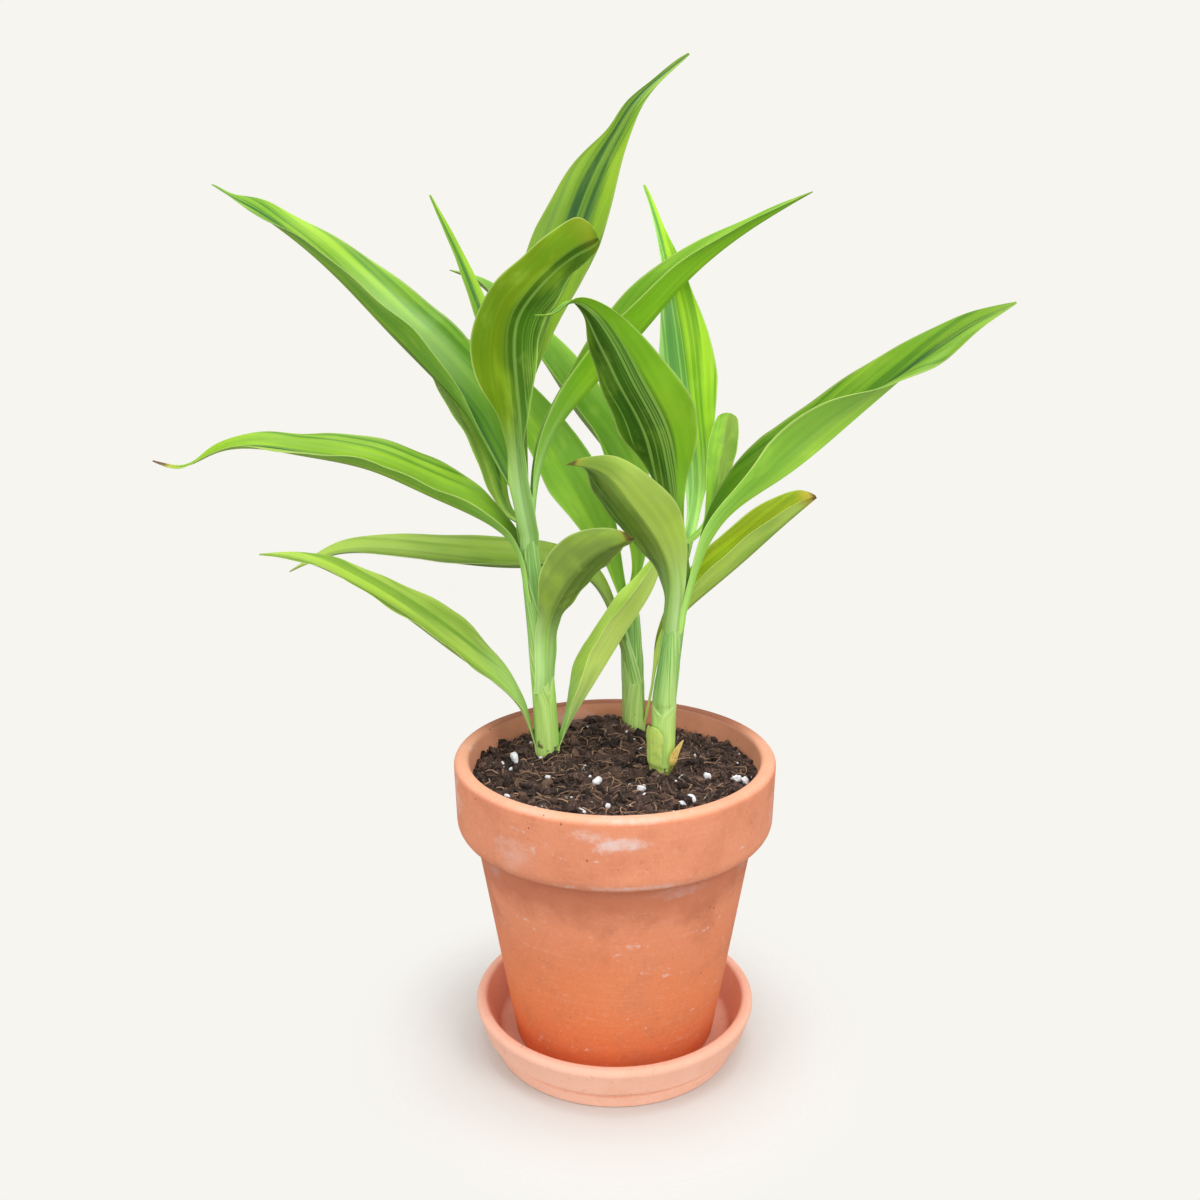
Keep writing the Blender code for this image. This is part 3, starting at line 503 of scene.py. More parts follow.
class Finish:
    """A procedural material, or the studio's world, while its nodes are being laid."""

    def __init__(self, name, owner=None):
        self.owner = owner or bpy.data.materials.new(name)
        self.owner.use_nodes = True
        self.tree = self.owner.node_tree
        self.tree.nodes.clear()

    def node(self, kind, settings=None, sockets=None, output=0):
        """Add a node, set it up, then give its sockets their values or links."""
        node = self.tree.nodes.new(kind)
        for key, value in (settings or {}).items():
            setattr(node, key, value)
        for key, value in (sockets or {}).items():
            if isinstance(value, Socket):
                self.tree.links.new(value.output, node.inputs[key])
            else:
                node.inputs[key].default_value = value
        return Socket(self, node.outputs[output]) if node.outputs else None

    def read(self, *names):
        """Values that the mesh holds for each point."""
        settings = [{"attribute_name": name, "attribute_type": "GEOMETRY"} for name in names]
        return [self.node("ShaderNodeAttribute", setting, {}, 2) for setting in settings]

    def place(self):
        return self.node("ShaderNodeTexCoord", {}, {}, 3)

    def streaks(self, across, along, shift, detail=2.0, roughness=0.6):
        """Grain in a skin's own directions, drawn out along the one that grows more slowly."""
        vector = self.node("ShaderNodeCombineXYZ", {}, {0: across, 1: along, 2: shift})
        return vector.grain(1.0, detail, roughness)

    def mix(self, share, first, second):
        """Colour between first, at share 0, and second, at share 1. Each may be a tone's code."""
        first, second = (tone(c) if isinstance(c, str) else c for c in (first, second))
        return self.node("ShaderNodeMix", {"data_type": "RGBA"}, {0: share, 6: first, 7: second}, 2)

    def over(self, colour, *coats):
        """Lay coats over a colour in turn, each given as how much of it shows and its tone."""
        for share, coat in coats:
            colour = self.mix(share, colour, coat)
        return colour

    def bump(self, height, strength, depth):
        sockets = {"Height": height, "Strength": strength, "Distance": depth}
        return self.node("ShaderNodeBump", {}, sockets)

    def shade(self, colour, roughness, normal=None, more=None):
        """Close the material with its surface shader; more holds any further sockets."""
        sockets = {"Base Color": colour, "Roughness": roughness, **(more or {})}
        if normal is not None:
            sockets["Normal"] = normal
        surface = self.node("ShaderNodeBsdfPrincipled", {}, sockets)
        self.node("ShaderNodeOutputMaterial", {}, {"Surface": surface})
        return self.owner


def blade_finish(name, mark):
    """Striped leaf skin: a tone for each side, a darker band with pale threads, a pale foot."""
    seed = SEED_STEP * list(MARKS).index(name)
    centre, spread, strength = mark["band"]
    finish = Finish("skin_" + name)
    across, along, upper, reach = finish.read("across", "along", "upper", "reach")
    veins = finish.streaks(reach * 16.0, along * 1.1, seed)
    lines = finish.streaks(reach * 6.0, along * 0.7, seed + 9.0)
    patch = finish.streaks(across * 1.1, along * 3.4, seed + 4.0, 2.0, 0.5)
    cloud = finish.streaks(across * 1.6, along * 9.0, seed + 21.0, 3.0, 0.55)
    threads = finish.streaks(reach * 15.0, along * 0.5, seed + 17.0, 1.0, 0.5)
    band = (abs(across - centre) + (lines - 0.5) * 0.5).fall(spread * 0.7, spread * 1.1) * strength
    side = (across + (lines - 0.5) * 0.3).fade(centre - 0.14, centre + 0.14)
    skins = []
    for left, middle, right, _ in (mark["below"], mark["top"]):
        strip = finish.mix(side, TONES[right], TONES[left])
        skins.append(finish.mix(band, strip, TONES[middle]))
    striped = mark["stripe"] * (0.35 + 0.65 * upper)
    # Painted shade: the upper face darkened towards the cane.
    painted_base_shade = along.fall(0.18, 0.62) * upper * mark["painted_base_shade"]
    colour = finish.over(
        finish.mix(upper, *skins),
        (lines.fade(0.5, 0.62) * striped * (1.0 - band), "3F7A12"),
        (lines.fall(0.34, 0.46) * striped * 0.55, "AEDC2A"),
        (patch.fade(0.48, 0.72) * 0.34, "4E8410"),
        (patch.fall(0.28, 0.5) * 0.3, "A2C830"),
        (cloud.fade(0.52, 0.74) * 0.16, "B4D250"),
        (threads.fade(0.52, 0.64) * mark["thread"] * band, "9CC860"),
        (painted_base_shade, "4A8A0A"))
    # Painted highlight: a pale gleam painted along the blade.
    if "painted_sheen" in mark:
        length_place, side_place, amount = mark["painted_sheen"]
        painted_gleam = abs(along - length_place).fall(0.03, 0.26) * (lines * 0.8 + 0.5)
        painted_gleam = painted_gleam * abs(across - side_place).fall(0.08, 0.42)
        colour = finish.mix(painted_gleam * amount, colour, "CDF4A6")
    foot = along.fall(0.04, 0.3 + 0.12 * mark["foot"]) * min(mark["foot"] * 0.8, 1.0)
    foot = foot * (1.0 - painted_base_shade) * (1.0 - band * 0.45)
    colour = finish.over(
        colour,
        (foot, finish.mix(lines.fade(0.3, 0.7), "8CBC5E", "BEE29A")),
        (abs(across).fade(0.93, 0.99) * 0.45, "BDD07C"))
    # Each face's lightness: partly the skin's own, partly painted light and shade.
    light, shade = mark["top"][3], mark["below"][3]
    colour = colour.scaled_by((shade + (light - shade) * upper) * (0.9 + 0.2 * veins))
    dry = (along + (patch - 0.5) * 0.06).fade(0.93, 0.985) * mark["dry"]
    browned = 0.98 if LEAVES[name].get("end", 0.0) > BLUNT_END else 0.955
    tip = finish.mix(along.fade(browned, browned + 0.02), "B8A83A", "5F3F24")
    ridges = (lines * 0.7 + veins * 0.05) * (1.0 - along).fade(0.2, 0.7)
    normal = finish.bump(ridges, 0.3, 0.016 * MM * LEAVES[name]["half"])
    more = {"Coat Weight": 0.1 * upper, "Coat Roughness": 0.26, "Specular IOR Level": 0.1}
    roughness = 0.4 + 0.1 * lines + 0.1 * (1.0 - upper)
    return finish.shade(finish.mix(dry, colour, tip), roughness, normal, more)


def dry_finish():
    """Yellow dried sheath with brown flecks."""
    finish = Finish("dried_sheath")
    across, along = finish.read("across", "along")
    lines = finish.streaks(across * 12.0, along * 1.5, 3.0, 3.0)
    fleck = finish.streaks(across * 5.0, along * 9.0, 8.0, 3.0, 0.5).fade(0.56, 0.7)
    colour = finish.over(
        finish.mix(lines, "FFC83C", "FFF2A0"),
        (fleck * 0.6, "8C5A22"),
        (along.fall(0.0, 0.35), "A8B04A"))
    return finish.shade(colour, 0.5 + 0.2 * lines, finish.bump(lines, 0.5, 0.3 * MM))


def cane_finish():
    """Pale green sheaths with lengthwise lines, pale edges, a few black specks and a muddy foot."""
    finish = Finish("cane_skin")
    across, along, edge, layer = finish.read("across", "along", "edge", "layer")
    place = finish.place()
    veins = finish.streaks(across * 22.0, along * 2.5, layer * 7.0)
    lines = finish.streaks(across * 7.0, along * 1.6, layer * 5.0)
    rare = place.grain(60.0, 1.0).fade(0.55, 0.62)
    dirt = place.grain(320.0, 3.0).fade(0.56, 0.64) * along.fall(0.03, 0.09)
    colour = finish.over(
        finish.mix(lines.fade(0.38, 0.62), "72B040", "C2E68A"),
        (layer.fade(0.2, 1.0) * 0.25, "66A448"),
        (veins.fade(0.45, 0.75) * 0.5, "CDEB9C"),
        ((abs(across) + (lines - 0.5) * 0.5).fall(0.12, 0.3) * 0.45, "4E9040"),
        (along.fall(0.1, 0.55) * 0.7, finish.mix(veins, "AED45C", "D2F092")),
        (edge * 0.6, "D6EBA8"),
        (place.scaled((1.0, 1.0, 0.6)).dots(150.0, 0.11) * rare, "1C2414"),
        (dirt * 0.85, "3A2A20"))
    more = {"Specular IOR Level": 0.3, "Subsurface Weight": 0.12,
            "Subsurface Radius": (0.4, 1.0, 0.15), "Subsurface Scale": 1.2 * MM}
    normal = finish.bump(veins * 0.4 + lines, 0.3, 0.3 * MM)
    return finish.shade(colour, 0.4 + 0.12 * veins, normal, more)


def clay_finish(name, low, high, dusk, extra_coats=None):
    """Unglazed clay: warmer towards the foot, faint turning streaks, fine grit and pits."""
    finish = Finish(name)
    place = finish.place()
    z = place.parts()[2]
    cloud = place.grain(16.0, 4.0, 0.55)
    blotch = place.grain(52.0, 5.0, 0.62)
    streak = place.scaled((22.0, 22.0, 700.0)).grain(1.0, 3.0, 0.55)
    grit = place.grain(1400.0, 2.0, 0.6)
    sand = place.grain(480.0, 4.0, 0.7)
    colour = finish.over(
        finish.mix((z + (cloud - 0.5) * 0.08).fade(0.02, 0.115), low, high),
        (blotch.fade(0.46, 0.72) * 0.45, dusk),
        (cloud.fade(0.5, 0.68) * 0.3, dusk),
        (streak.fade(0.5, 0.78) * 0.1, "F0C0A4"),
        (sand.fade(0.55, 0.75) * 0.24, "F2C8AE"),
        (sand.fall(0.28, 0.44) * 0.2, "96512F"),
        (grit.fade(0.6, 0.75) * 0.2, "F4D2BC"))
    # The pot's coats: lime bloom, wear and mud, with painted highlight, shade and shadow.
    if extra_coats:
        colour = extra_coats(finish, colour, cloud, blotch, sand)
    rare = place.grain(75.0, 1.0).fade(0.6, 0.66)
    pit = place.dots(210.0, 0.13) * rare
    height = grit * 0.5 + sand + streak * 0.35 + blotch * 0.4 - pit * 1.2
    return finish.shade(finish.mix(pit * 0.7, colour, "6B3A26"), 0.76 + 0.16 * sand,
                        finish.bump(height, 0.45, 0.3 * MM), {"Specular IOR Level": 0.3})


def pot_wear_and_painted_shade(finish, colour, cloud, blotch, sand):
    """Lime bloom; a lip edge of wear and painted highlight, in painted shade at the back; painted
    shade under the collar and a painted shadow in its crease; mud on the inner wall.
    """
    place = finish.place()
    _, y, z = place.parts()
    radius = place.scaled((1.0, 1.0, 0.0)).distance((0.0, 0.0, 0.0))
    powder = place.grain(260.0, 6.0, 0.72)
    smear = place.scaled((55.0, 55.0, 170.0)).grain(1.0, 5.0, 0.62)
    broken = (powder - 0.5) * 1.3 + (smear - 0.5) * 1.3
    for centre, wide, tall, strength in BLOOMS:
        stretch = (1.0, 1.0, wide / tall)
        middle = [MM * value * factor for value, factor in zip(centre, stretch)]
        near = place.scaled(stretch).distance(middle).fall(0.0, wide * MM * 1.25)
        mask = (near * 0.75 + broken).fade(0.22, 1.0) * strength
        colour = finish.mix(mask * 0.8, colour, "E8D2CC")
    # Lip top: paler in front, wear and painted highlight; darker at the back, painted shade.
    lip_edge = z.fade(POT_TOP - 2.6 * MM, POT_TOP - 0.6 * MM)
    back = y.fade(0.01, 0.05)
    # Painted shade on the wall just under the collar.
    painted_collar_shade = (z + (blotch - 0.5) * 0.03).fade(COLLAR_BOTTOM - 28.0 * MM, COLLAR_BOTTOM - 8.0 * MM)
    painted_collar_shade = painted_collar_shade * z.fall(COLLAR_BOTTOM, COLLAR_BOTTOM + 4.0 * MM)
    # Painted shadow: a dark line in the crease under the collar.
    painted_crease_shadow = abs(z - COLLAR_BOTTOM).fall(0.3 * MM, 1.3 * MM)
    painted_crease_shadow = painted_crease_shadow * radius.fall(WALL_UNDER_COLLAR + 0.6 * MM, WALL_UNDER_COLLAR + 2.4 * MM)
    inside = radius.fall(LIP_INNER - 0.3 * MM, LIP_INNER + 0.4 * MM)
    inside = inside * z.fade(COLLAR_BOTTOM + 2.0 * MM, COLLAR_BOTTOM + 6.0 * MM)
    mud = ((sand - 0.5) * 1.6 + (cloud - 0.5) - (z - SOIL_HEIGHT) * 110.0).fade(0.05, 0.35)
    return finish.over(
        colour,
        (lip_edge * (1.0 - back) * 0.4, "EEBEA4"),
        (lip_edge * back * 0.9, "8A5642"),
        (painted_collar_shade * 0.65, "B8694A"),
        (painted_crease_shadow * 0.75, "7C402E"),
        (inside * 0.5, "CC9078"),
        (inside * mud * 0.7, "4A3226"))


def soil_finish():
    """Dark peaty mix: near-black hollows, red-brown crumbs and tan bits."""
    finish = Finish("potting_mix")
    place = finish.place()
    shade, = finish.read("shade")
    coarse = place.grain(110.0, 5.0, 0.65)
    fine = place.grain(700.0, 4.0, 0.7)
    thread = place.scaled((900.0, 260.0, 500.0)).grain(1.0, 3.0, 0.6)
    colour = finish.over(
        finish.mix(coarse.fade(0.36, 0.64), "1A110E", "4E3A33"),
        (fine.fade(0.5, 0.7) * 0.6, "86695E"),
        (thread.fade(0.58, 0.72) * 0.55, "9C8070"),
        (shade.fade(0.7, 1.0) * 0.5, "8C6C58"),
        (shade.fall(0.0, 0.35) * 0.6, "17100D"))
    normal = finish.bump(fine + coarse * 0.6 + thread * 0.5, 0.9, 0.7 * MM)
    return finish.shade(colour, 0.8 + 0.15 * fine, normal, {"Specular IOR Level": 0.35})


def perlite_finish():
    """White porous grains, stained here and there."""
    finish = Finish("perlite")
    place = finish.place()
    pores = place.grain(1300.0, 4.0, 0.7)
    stain = place.grain(420.0, 2.0).fade(0.52, 0.7)
    colour = finish.mix(stain * 0.4, finish.mix(pores, "D5D6DC", "FAFAFC"), "A09080")
    return finish.shade(colour, 0.8 + 0.1 * pores, finish.bump(pores, 0.8, 0.35 * MM))


def fibre_finish():
    """Peat fibres, from dark to tan by each one's own shade."""
    finish = Finish("peat_fibre")
    shade, = finish.read("shade")
    streak = finish.place().grain(900.0, 2.0)
    colour = finish.mix(streak * 0.4, finish.mix(shade, "3E2C22", "C69E7E"), "6A4E3C")
    return finish.shade(colour, 0.7 + 0.2 * streak)


def scrap_finish():
    """The yellow-green scrap of leaf that lies on the soil."""
    finish = Finish("leaf_scrap")
    mottle = finish.place().grain(500.0, 3.0)
    colour = finish.mix(mottle.fade(0.4, 0.65), "8E9A12", "C6CC3A")
    return finish.shade(colour, 0.5 + 0.2 * mottle)


def add_object(name, data):
    thing = bpy.data.objects.new(name, data)
    bpy.context.scene.collection.objects.link(thing)
    return thing


def make_piece(name, verts, faces, material, values=None):
    """A mesh object that rides on the part's one body; values holds a number for every point."""
    mesh = bpy.data.meshes.new(name)
    mesh.from_pydata(verts.tolist(), [], faces)
    for key, numbers in (values or {}).items():
        layer = mesh.attributes.new(key, "FLOAT", "POINT")
        layer.data.foreach_set("value", np.asarray(numbers, np.float32).ravel())
    work = bmesh.new()
    work.from_mesh(mesh)
    bmesh.ops.recalc_face_normals(work, faces=work.faces)
    work.to_mesh(mesh)
    work.free()
    mesh.shade_smooth()
    mesh.set_sharp_from_angle(angle=SHARP_ANGLE)
    mesh.materials.append(material)
    piece = add_object(name, mesh)
    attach(piece, "root")
    return piece


def stand_in(node, verts, faces, material, values=None):
    """A finer piece in the place of one of the solids."""
    piece = make_piece("fine_" + node, verts, faces, material, values)
    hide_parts(node)


def portion(value, whole):
    """How much of the whole a value makes, from 0 to 1."""
    return np.clip(value / whole, 0.0, 1.0)


def unit(vectors):
    return vectors / np.maximum(np.linalg.norm(vectors, axis=-1, keepdims=True), TINY)


def spline(knots, values, s):
    """Natural cubic spline through the values at the knots."""
    knots = np.asarray(knots, float)
    values = np.asarray(values, float)
    gap = np.diff(knots)
    size = len(knots)
    matrix = np.eye(size)
    right = np.zeros_like(values)
    for i in range(1, size - 1):
        matrix[i, i - 1:i + 2] = (gap[i - 1], 2.0 * (gap[i - 1] + gap[i]), gap[i])
        ahead = (values[i + 1] - values[i]) / gap[i]
        right[i] = 6.0 * (ahead - (values[i] - values[i - 1]) / gap[i - 1])
    bend = np.linalg.solve(matrix, right)
    i = np.clip(np.searchsorted(knots, s, side="right") - 1, 0, size - 2)
    shape = (-1,) + (1,) * (values.ndim - 1)
    a = ((knots[i + 1] - s) / gap[i]).reshape(shape)
    b = 1.0 - a
    square = (gap[i] ** 2).reshape(shape) / 6.0
    curve = (a ** 3 - a) * bend[i] + (b ** 3 - b) * bend[i + 1]
    return a * values[i] + b * values[i + 1] + curve * square


def smooth_path(points, count):
    """Smooth curve through the points, sampled evenly by chord length."""
    points = np.asarray(points, float) * MM
    chord = np.linalg.norm(np.diff(points, axis=0), axis=1)
    knots = np.concatenate([[0.0], np.cumsum(chord)])
    return spline(knots, points, np.linspace(0.0, knots[-1], count))


def detail(leaf, key, t, usual):
    """A value that changes along the blade, from pairs of (share of length, value)."""
    pairs = leaf.get(key)
    return spline(*zip(*pairs), t) if pairs else np.full(len(t), usual)


def blade_frame(path, heading, roll):
    """Side and upper-face directions along the midrib."""
    tangent = unit(np.gradient(path, axis=0))
    angle = math.radians(heading)
    level = np.array([-math.sin(angle), math.cos(angle), 0.0])
    side = unit(level - tangent * (tangent @ level)[:, None])
    upper = np.cross(tangent, side)
    turn = np.radians(roll)[:, None]
    return side * np.cos(turn) + upper * np.sin(turn), upper * np.cos(turn) - side * np.sin(turn)


def half_width(leaf, t):
    """Half the blade's width at shares of its length, before its sides' own detail."""
    start, widest, full = leaf["start"], leaf["widest"], leaf["half"]
    rise = portion(t - start, widest - start)
    rise = rise * rise * (3.0 - 2.0 * rise)
    fall = portion(t - widest, 1.0 - widest)
    growing = leaf["base"] + (full - leaf["base"]) * rise
    taper, end = leaf.get("taper", TAPER), leaf.get("end", TIP_HALF_WIDTH)
    ending = full * (1.0 - fall ** taper) + end * fall
    return MM * np.where(t < widest, growing, ending)


def blade_grid(leaf, stations, strips):
    """Points of the blade's middle surface, stations by (2 * strips + 1)."""
    path = smooth_path(leaf["path"], stations)
    t = np.linspace(0.0, 1.0, stations)
    roll = np.interp(t, [0.0, ROLL_MIDDLE, 1.0], leaf["roll"])
    side, upper = blade_frame(path, leaf["heading"], roll)
    width = half_width(leaf, t)
    if leaf.get("end", TIP_HALF_WIDTH) > ROUND_END:
        width = width * np.sqrt(1.0 - portion(t - ROUND_START, ROUND_LENGTH) ** 2)
    lean = leaf.get("lean", 0.0) * portion(t, LEAN_START)
    (rib_middle, edge_middle), (rib_tip, edge_tip) = leaf["middle"], leaf["tip"]
    rib = np.radians(np.interp(t, [0.0, MIDDLE, 1.0], (0.0, rib_middle, rib_tip)))
    edge = np.radians(np.interp(t, [0.0, MIDDLE, 1.0], (leaf["wrap"], edge_middle, edge_tip)))
    grid = np.zeros((stations, 2 * strips + 1, 3))
    grid[:, strips] = path
    for sign, name in ((1, "left"), (-1, "right")):
        step = width * (1.0 + sign * lean) * detail(leaf, name, t, 1.0) / strips
        curl = np.radians(detail(leaf, name + "_curl", t, 0.0))
        out = np.zeros(stations)
        rise = np.zeros(stations)
        for k in range(strips):
            share = (k + 0.5) / strips
            angle = rib + (edge - rib) * share + curl * share ** 3
            out = out + step * np.cos(angle)
            rise = rise + step * np.sin(angle)
            point = path + side * (sign * out)[:, None] + upper * rise[:, None]
            grid[:, strips + sign * (1 + k)] = point
    return grid


def grid_normals(grid):
    return unit(np.cross(np.gradient(grid, axis=0), np.gradient(grid, axis=1)))


def cane_axis(name, z):
    """Centre and radius of a cane at a height, or at many."""
    points = STEMS[name]
    heights = [p[2] * MM for p in points]
    return [MM * np.interp(z, heights, [p[k] for p in points]) for k in (0, 1, 3)]


def nearest_cane(point):
    """Gap from a point to the nearest cane's surface, and that cane's centre at its height."""
    best = (math.inf, None)
    for name in STEMS:
        x, y, radius = cane_axis(name, point[2])
        gap = math.hypot(point[0] - x, point[1] - y) - radius
        if gap < best[0]:
            best = (gap, np.array([x, y, point[2]]))
    return best


def fine_blade(name, wave):
    """The blade with a sunken base, waved margins, a raised keel and soft lengthwise folds."""
    leaf = LEAVES[name]
    grid = blade_grid(leaf, BLADE_STATIONS, BLADE_STRIPS)
    rows, columns = grid.shape[:2]
    t = np.linspace(0.0, 1.0, rows)[:, None]
    u = np.linspace(-1.0, 1.0, columns)[None, :]
    rng = random.Random(name)
    phase = [rng.uniform(0.0, math.tau) for _ in range(6)]
    waves = math.tau * rng.uniform(*MARGIN_WAVES) * t
    margins = [np.sin(waves + phase[k]) + 0.5 * np.sin(RIPPLES * waves + phase[k + 1])
               for k in (0, 2)]
    swell = portion(t, 0.2) * portion(1.0 - t, 0.12)
    ripple = np.where(u < 0.0, *margins) * np.abs(u) ** 2.2 * swell * wave * MM
    width = half_width(leaf, t)
    folds = np.cos(math.tau * FOLDS * u + phase[4] + 0.8 * np.sin(3.0 * t + phase[5]))
    broad = portion(leaf["half"], BROAD_BLADE) ** 2
    folds = folds * FOLD_DEPTH * broad * width * (1.0 - t) ** 0.8
    keel = -KEEL_HEIGHT * width * np.exp(-(u / KEEL_WIDTH) ** 2)
    keel = keel * portion(t, 0.15) * (1.0 - t) ** 0.5
    grid = grid + grid_normals(grid) * (ripple + folds + keel)[:, :, None]
    gap, axis = nearest_cane(grid[0, columns // 2])
    inward = unit((axis - grid[0, columns // 2]) * [1.0, 1.0, 0.0])
    settle = max(gap - SEAT_GAP, 0.0) * (1.0 - portion(t, SETTLE_LENGTH)) ** 2
    grid = grid + inward * settle[:, :, None]
    sunk = []
    for j in range(SUNK_ROWS, 0, -1):
        drop = np.array([0.0, 0.0, -j * SUNK_STEP])
        sunk.append(grid[0] + drop + inward * (j / SUNK_ROWS) ** 1.5 * SUNK_LEAN)
    grid = np.concatenate([np.array(sunk), grid])
    t = np.concatenate([np.zeros((SUNK_ROWS, 1)), t])
    thickness = MARGIN_THICKNESS + (RIB_THICKNESS - MARGIN_THICKNESS) * (1.0 - np.abs(u) ** 1.5)
    return grid, t, u, thickness * portion(1.55 - t, 1.0)


def closed_plate(grid, thickness):
    """Points and faces of a thin closed plate round a grid of points."""
    half = grid_normals(grid) * thickness[:, :, None] / 2.0
    rows, columns = grid.shape[:2]
    verts = np.concatenate([(grid + half).reshape(-1, 3), (grid - half).reshape(-1, 3)])
    under = rows * columns
    faces = []
    for i in range(rows - 1):
        for j in range(columns - 1):
            a = i * columns + j
            b, c, d = a + 1, a + columns + 1, a + columns
            faces.append((a, b, c, d))
            faces.append((under + d, under + c, under + b, under + a))
    border = list(range(columns))
    border += [i * columns + columns - 1 for i in range(1, rows)]
    border += [(rows - 1) * columns + j for j in range(columns - 2, -1, -1)]
    border += [i * columns for i in range(rows - 2, 0, -1)]
    for a, b in zip(border, border[1:] + border[:1]):
        faces.append((a, under + a, under + b, b))
    return verts, faces


def make_blade(name):
    mark = {**USUAL_MARKS, **MARKS[name]}
    grid, t, u, thickness = fine_blade(name, mark["wave"])
    verts, faces = closed_plate(grid, thickness)
    along, across = np.broadcast_arrays(t, u)
    reach = u * half_width(LEAVES[name], t) / (LEAVES[name]["half"] * MM)
    values = {"along": [along, along], "across": [across, across], "reach": [reach, reach],
              "upper": [np.ones(grid.shape[:2]), np.zeros(grid.shape[:2])]}
    material = dry_finish() if name == "sheath_dry" else blade_finish(name, mark)
    stand_in(name, verts, faces, material, values)


def ring_faces(rows, columns, first=0, joined=False):
    """Faces between rings of points, which go from the last ring back to the first if joined."""
    faces = []
    for i in range(rows if joined else rows - 1):
        below, above = first + i * columns, first + (i + 1) % rows * columns
        for k in range(columns):
            j = (k + 1) % columns
            faces.append((below + k, below + j, above + j, above + k))
    return faces


def end_faces(rows, columns):
    return [tuple(range(columns))[::-1], tuple(range((rows - 1) * columns, rows * columns))]


def make_cane(name, material):
    """A cane whose clasping sheaths stand out along their margins."""
    low, high = STEMS[name][0][2] * MM, STEMS[name][-1][2] * MM
    shape = (STEM_RINGS, STEM_STEPS)
    z = np.linspace(low, high, STEM_RINGS)[:, None]
    angle = np.linspace(0.0, 360.0, STEM_STEPS, endpoint=False)[None, :]
    x, y, radius = cane_axis(name, z)
    across, edge, covered = np.zeros(shape), np.zeros(shape), np.zeros(shape, bool)
    layer = np.full(shape, len(SHEATHS[name]) + 1.0)
    for index, (top, heading, wrap, opening) in enumerate(SHEATHS[name]):
        turn = (angle - heading + 180.0) % 360.0 - 180.0
        reach = np.minimum(wrap + opening * (top - z / MM), MOST_WRAP)
        under_top = portion(top - z / MM, SHEATH_TOP)
        inside = portion(reach - np.abs(turn), SHEATH_MARGIN) * under_top
        radius = radius + SHEATH_STEP * (inside - portion(reach, 180.0) * under_top)
        rim = np.exp(-((reach - np.abs(turn) - RIM_PLACE) / RIM_WIDTH) ** 2)
        rim = rim * (reach < 178.0) * (z / MM < top)
        here = (inside > 0.5) & ~covered
        across = np.where(here, turn / np.maximum(reach, 1.0), across)
        layer = np.where(here, float(index), layer)
        edge = np.where(~covered, np.maximum(edge, rim), edge)
        covered |= here
    across = np.where(covered, across, (angle % 180.0) / 90.0 - 1.0)
    angle = np.radians(angle)
    radius = radius + CANE_FOLD_DEPTH * np.cos(CANE_FOLDS * angle + 4.0 * layer)
    place = (x + radius * np.cos(angle), y + radius * np.sin(angle), np.broadcast_to(z, shape))
    verts = np.stack(place, axis=2).reshape(-1, 3)
    faces = ring_faces(*shape) + end_faces(*shape)
    along = np.broadcast_to((z - SOIL_HEIGHT) / (high - SOIL_HEIGHT), shape)
    values = {"across": across, "along": along, "edge": edge, "layer": layer}
    stand_in(name, verts, faces, material, values)


def bend_points(corner, before, after, radius):
    """Arc that rounds one corner of a profile."""
    corner, before, after = (np.array(p, float) for p in (corner, before, after))
    back, ahead = unit(before - corner), unit(after - corner)
    half = math.acos(float(np.clip(back @ ahead, -1.0, 1.0))) / 2.0
    centre = corner + unit(back + ahead) * radius / math.sin(half)
    first = corner + back * radius / math.tan(half) - centre
    last = corner + ahead * radius / math.tan(half) - centre
    sweep = math.pi - 2.0 * half
    points = []
    for i in range(BEND_STEPS + 1):
        angle = i / BEND_STEPS * sweep
        arm = (math.sin(sweep - angle) * first + math.sin(angle) * last) / math.sin(sweep)
        points.append(centre + arm)
    return points


def profile(corners):
    """Closed outline with rounded corners, its straight stretches cut into short steps."""
    loop = []
    for i, (radius, z, bend) in enumerate(corners):
        if bend == 0.0:
            loop.append(np.array([radius, z]))
        else:
            after = corners[(i + 1) % len(corners)]
            loop += bend_points((radius, z), corners[i - 1][:2], after[:2], bend)
    fine = []
    for first, second in zip(loop, loop[1:] + loop[:1]):
        steps = max(1, int(np.linalg.norm(second - first) / PROFILE_STEP))
        fine += [first + (second - first) * k / steps for k in range(steps)]
    return np.array(fine)


def make_turned(node, corners, material, open_middle, seed):
    """Clay turned on a wheel: fine rings, a slightly wandering wall and a softly worn edge."""
    loop = profile(corners)
    rng = random.Random(seed)
    angle = np.linspace(0.0, math.tau, TURN_STEPS, endpoint=False)[None, :]
    radius, z = loop[:, 0][:, None], loop[:, 1][:, None]
    marks = 0.0
    for _ in range(TURN_MARKS):
        strength = math.cos(rng.uniform(0.0, 6.0))
        wave = z * rng.uniform(900.0, 4200.0) + angle + rng.uniform(0.0, 6.0)
        marks = marks + strength * np.sin(wave)
    wander = 0.0
    for k in (2, 3, 5, 7):
        wave = k * angle + rng.uniform(0.0, 6.0) + z * rng.uniform(20.0, 60.0)
        wander = wander + np.sin(wave) / k
    inset = TURN_MARK * (marks / TURN_MARKS + 1.0) + WANDER * (wander / 2.2 + 1.0)
    out = np.maximum(radius - inset * portion(radius, CALM_RADIUS), 0.0)
    place = (out * np.cos(angle), out * np.sin(angle), np.broadcast_to(z, out.shape))
    verts = np.stack(place, axis=2).reshape(-1, 3)
    faces = ring_faces(*out.shape, joined=open_middle)
    if not open_middle:
        faces += end_faces(*out.shape)
    stand_in(node, verts, faces, material)


